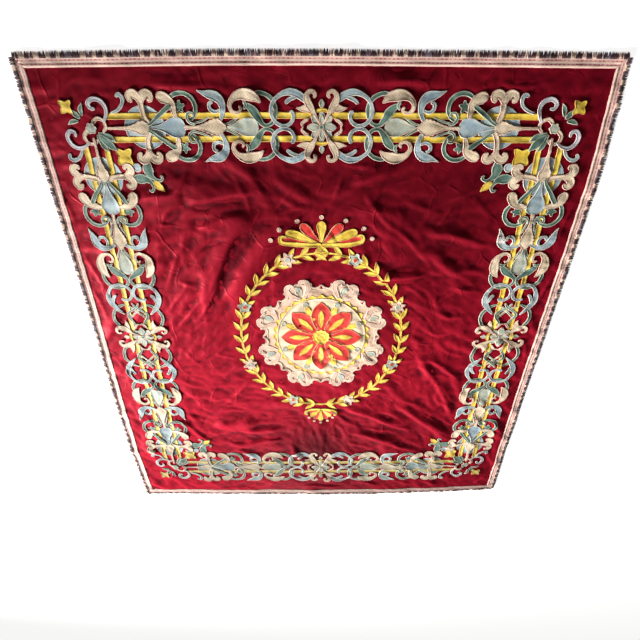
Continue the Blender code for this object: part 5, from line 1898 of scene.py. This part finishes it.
@dataclass(frozen=True)
class Studio:
    """The pale floor, the soft lights and the camera, which looks down over the cloth's top edge.

    Attributes:
        floor_half: Half the floor's side.
        floor_level: Height of the floor, just under the fringe.
        floor_glow: How much light the paper gives of its own, which keeps it even.
        sky: Strength of the light from all round.
        camera_place: Where the camera stands.
        camera_tilt: How far its view points down, in degrees.
        lens: Its focal length in millimetres, on a sensor of sensor_width.
        shift_y: How far its frame is shifted upwards.
    """

    floor_half: float = 6.0
    floor_level: float = -1 * MM
    floor_glow: float = 0.82
    sky: float = 0.12
    camera_place: tuple[float, float, float] = (0.0, 1.2023, 1.8135)
    camera_tilt: float = 53.654
    lens: float = 27.34
    sensor_width: float = 36.0
    shift_y: float = 0.064

    def floor(self) -> None:
        """Lays the floor: matt white paper."""
        half, level = self.floor_half, self.floor_level
        corners = [(-half, -half, level), (half, -half, level), (half, half, level), (-half, half, level)]
        mesh = bpy.data.meshes.new("floor")
        mesh.from_pydata(corners, [], [(0, 1, 2, 3)])
        paper, _, _ = started(
            "pale_paper",
            Base_Color="efedea",
            Roughness=0.9,
            Emission_Color="ffffff",
            Emission_Strength=self.floor_glow,
        )
        placed(mesh, paper)

    def lit(self) -> None:
        """Sets the light from all round and hangs the soft lights."""
        world = bpy.data.worlds.new("studio")
        world.use_nodes = True
        background = world.node_tree.nodes["Background"]
        background.inputs["Color"].default_value = linear("ffffff")
        background.inputs["Strength"].default_value = self.sky
        bpy.context.scene.world = world
        bpy.context.scene.view_settings.view_transform = "Standard"
        for name, place, aim, side, watts, beam in WINDOWS:
            lamp = bpy.data.lights.new(name, "AREA")
            lamp.size, lamp.energy, lamp.spread = side, watts, math.radians(beam)
            made = bpy.data.objects.new(name, lamp)
            made.location = place
            made.rotation_euler = (Vector(aim) - Vector(place)).to_track_quat("-Z", "Y").to_euler()
            bpy.context.scene.collection.objects.link(made)

    def camera(self) -> None:
        """Sets up the camera, which looks along -Y and down."""
        tilt = math.radians(self.camera_tilt)
        down, level = math.sin(tilt), math.cos(tilt)
        camera = bpy.data.cameras.new("camera")
        camera.lens = self.lens
        camera.sensor_width = self.sensor_width
        camera.shift_y = self.shift_y
        made = bpy.data.objects.new("camera", camera)
        turned = Matrix(((1, 0, 0), (0, down, level), (0, -level, down))).to_4x4()
        made.matrix_world = Matrix.Translation(self.camera_place) @ turned
        bpy.context.scene.collection.objects.link(made)
        bpy.context.scene.camera = made


# ---------------------------------------------------------------- the whole


def sew_sides(work: Needlework, border: Border, trim: Trim) -> None:
    """Sews on each side's galloon, fringe and border.

    Args:
        work: Gets the pieces.
        border: The applique border.
        trim: The galloon and fringe.
    """
    weave, silk = galloon_material(), fringe_material()
    for side in border.sides():
        work.sewn.append(trim.galloon(side, weave))
        work.sewn.append(trim.fringe(side, silk))
        stands_for = {
            "rails": [f"rail_{side.name}_inner", f"rail_{side.name}_outer"],
            "blue": [f"scroll_row_{side.name}_inner", f"scroll_row_{side.name}_outer"],
            "silver": [f"spine_{side.name}_a", f"spine_{side.name}_b"],
            "cream": [f"band_rosette_{side.name}"],
        }
        work.sew_by_silk(f"border_{side.name}", border.side_patches(side), stands_for)


def sew_corners(work: Needlework, border: Border) -> None:
    """Sews on the four corners.

    Args:
        work: Gets the pieces.
        border: The applique border.
    """
    corners = {"top_right": (1, 1), "top_left": (-1, 1), "bottom_left": (-1, -1), "bottom_right": (1, -1)}
    for name, signs in corners.items():
        stands_for = {
            "cream": [f"corner_knot_{name}"],
            "gold": [f"corner_flower_{name}"],
            "green": [f"corner_fleur_{name}"],
        }
        work.sew_by_silk(f"corner_{name}", border.corner_patches(*signs), stands_for)


def sew_medallion(work: Needlework, medallion: Medallion) -> None:
    """Sews on the flower, the wreath and the two palmettes.

    Args:
        work: Gets the pieces.
        medallion: The round centre.
    """
    solids = {key: [f"medallion_{key}"] for key in ("cartouche", "roundel", "petals", "button")}
    work.sew_centre("medallion_{}_sewn", medallion.flower(), solids)
    quarters = [f"wreath_{quarter}" for quarter in ("upper_right", "upper_left", "lower_left", "lower_right")]
    work.sew_centre("wreath_{}", medallion.wreath(), {"leaves": quarters})
    for name, sign in (("top", 1), ("bottom", -1)):
        work.sew_centre(f"palmette_{name}_{{}}", medallion.palmette(sign), {"gold": [f"palmette_{name}"]})


def main() -> None:
    """Builds every piece and the studio."""
    logging.basicConfig(level=logging.INFO, format="%(name)s: %(message)s")
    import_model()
    work, border = Needlework(), Border()
    ground = Ground().sheet()
    sew_sides(work, border, Trim())
    sew_corners(work, border)
    sew_medallion(work, Medallion())
    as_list(work.sewn)
    studio = Studio()
    studio.floor()
    studio.lit()
    studio.camera()


if __name__ == "__main__":
    main()
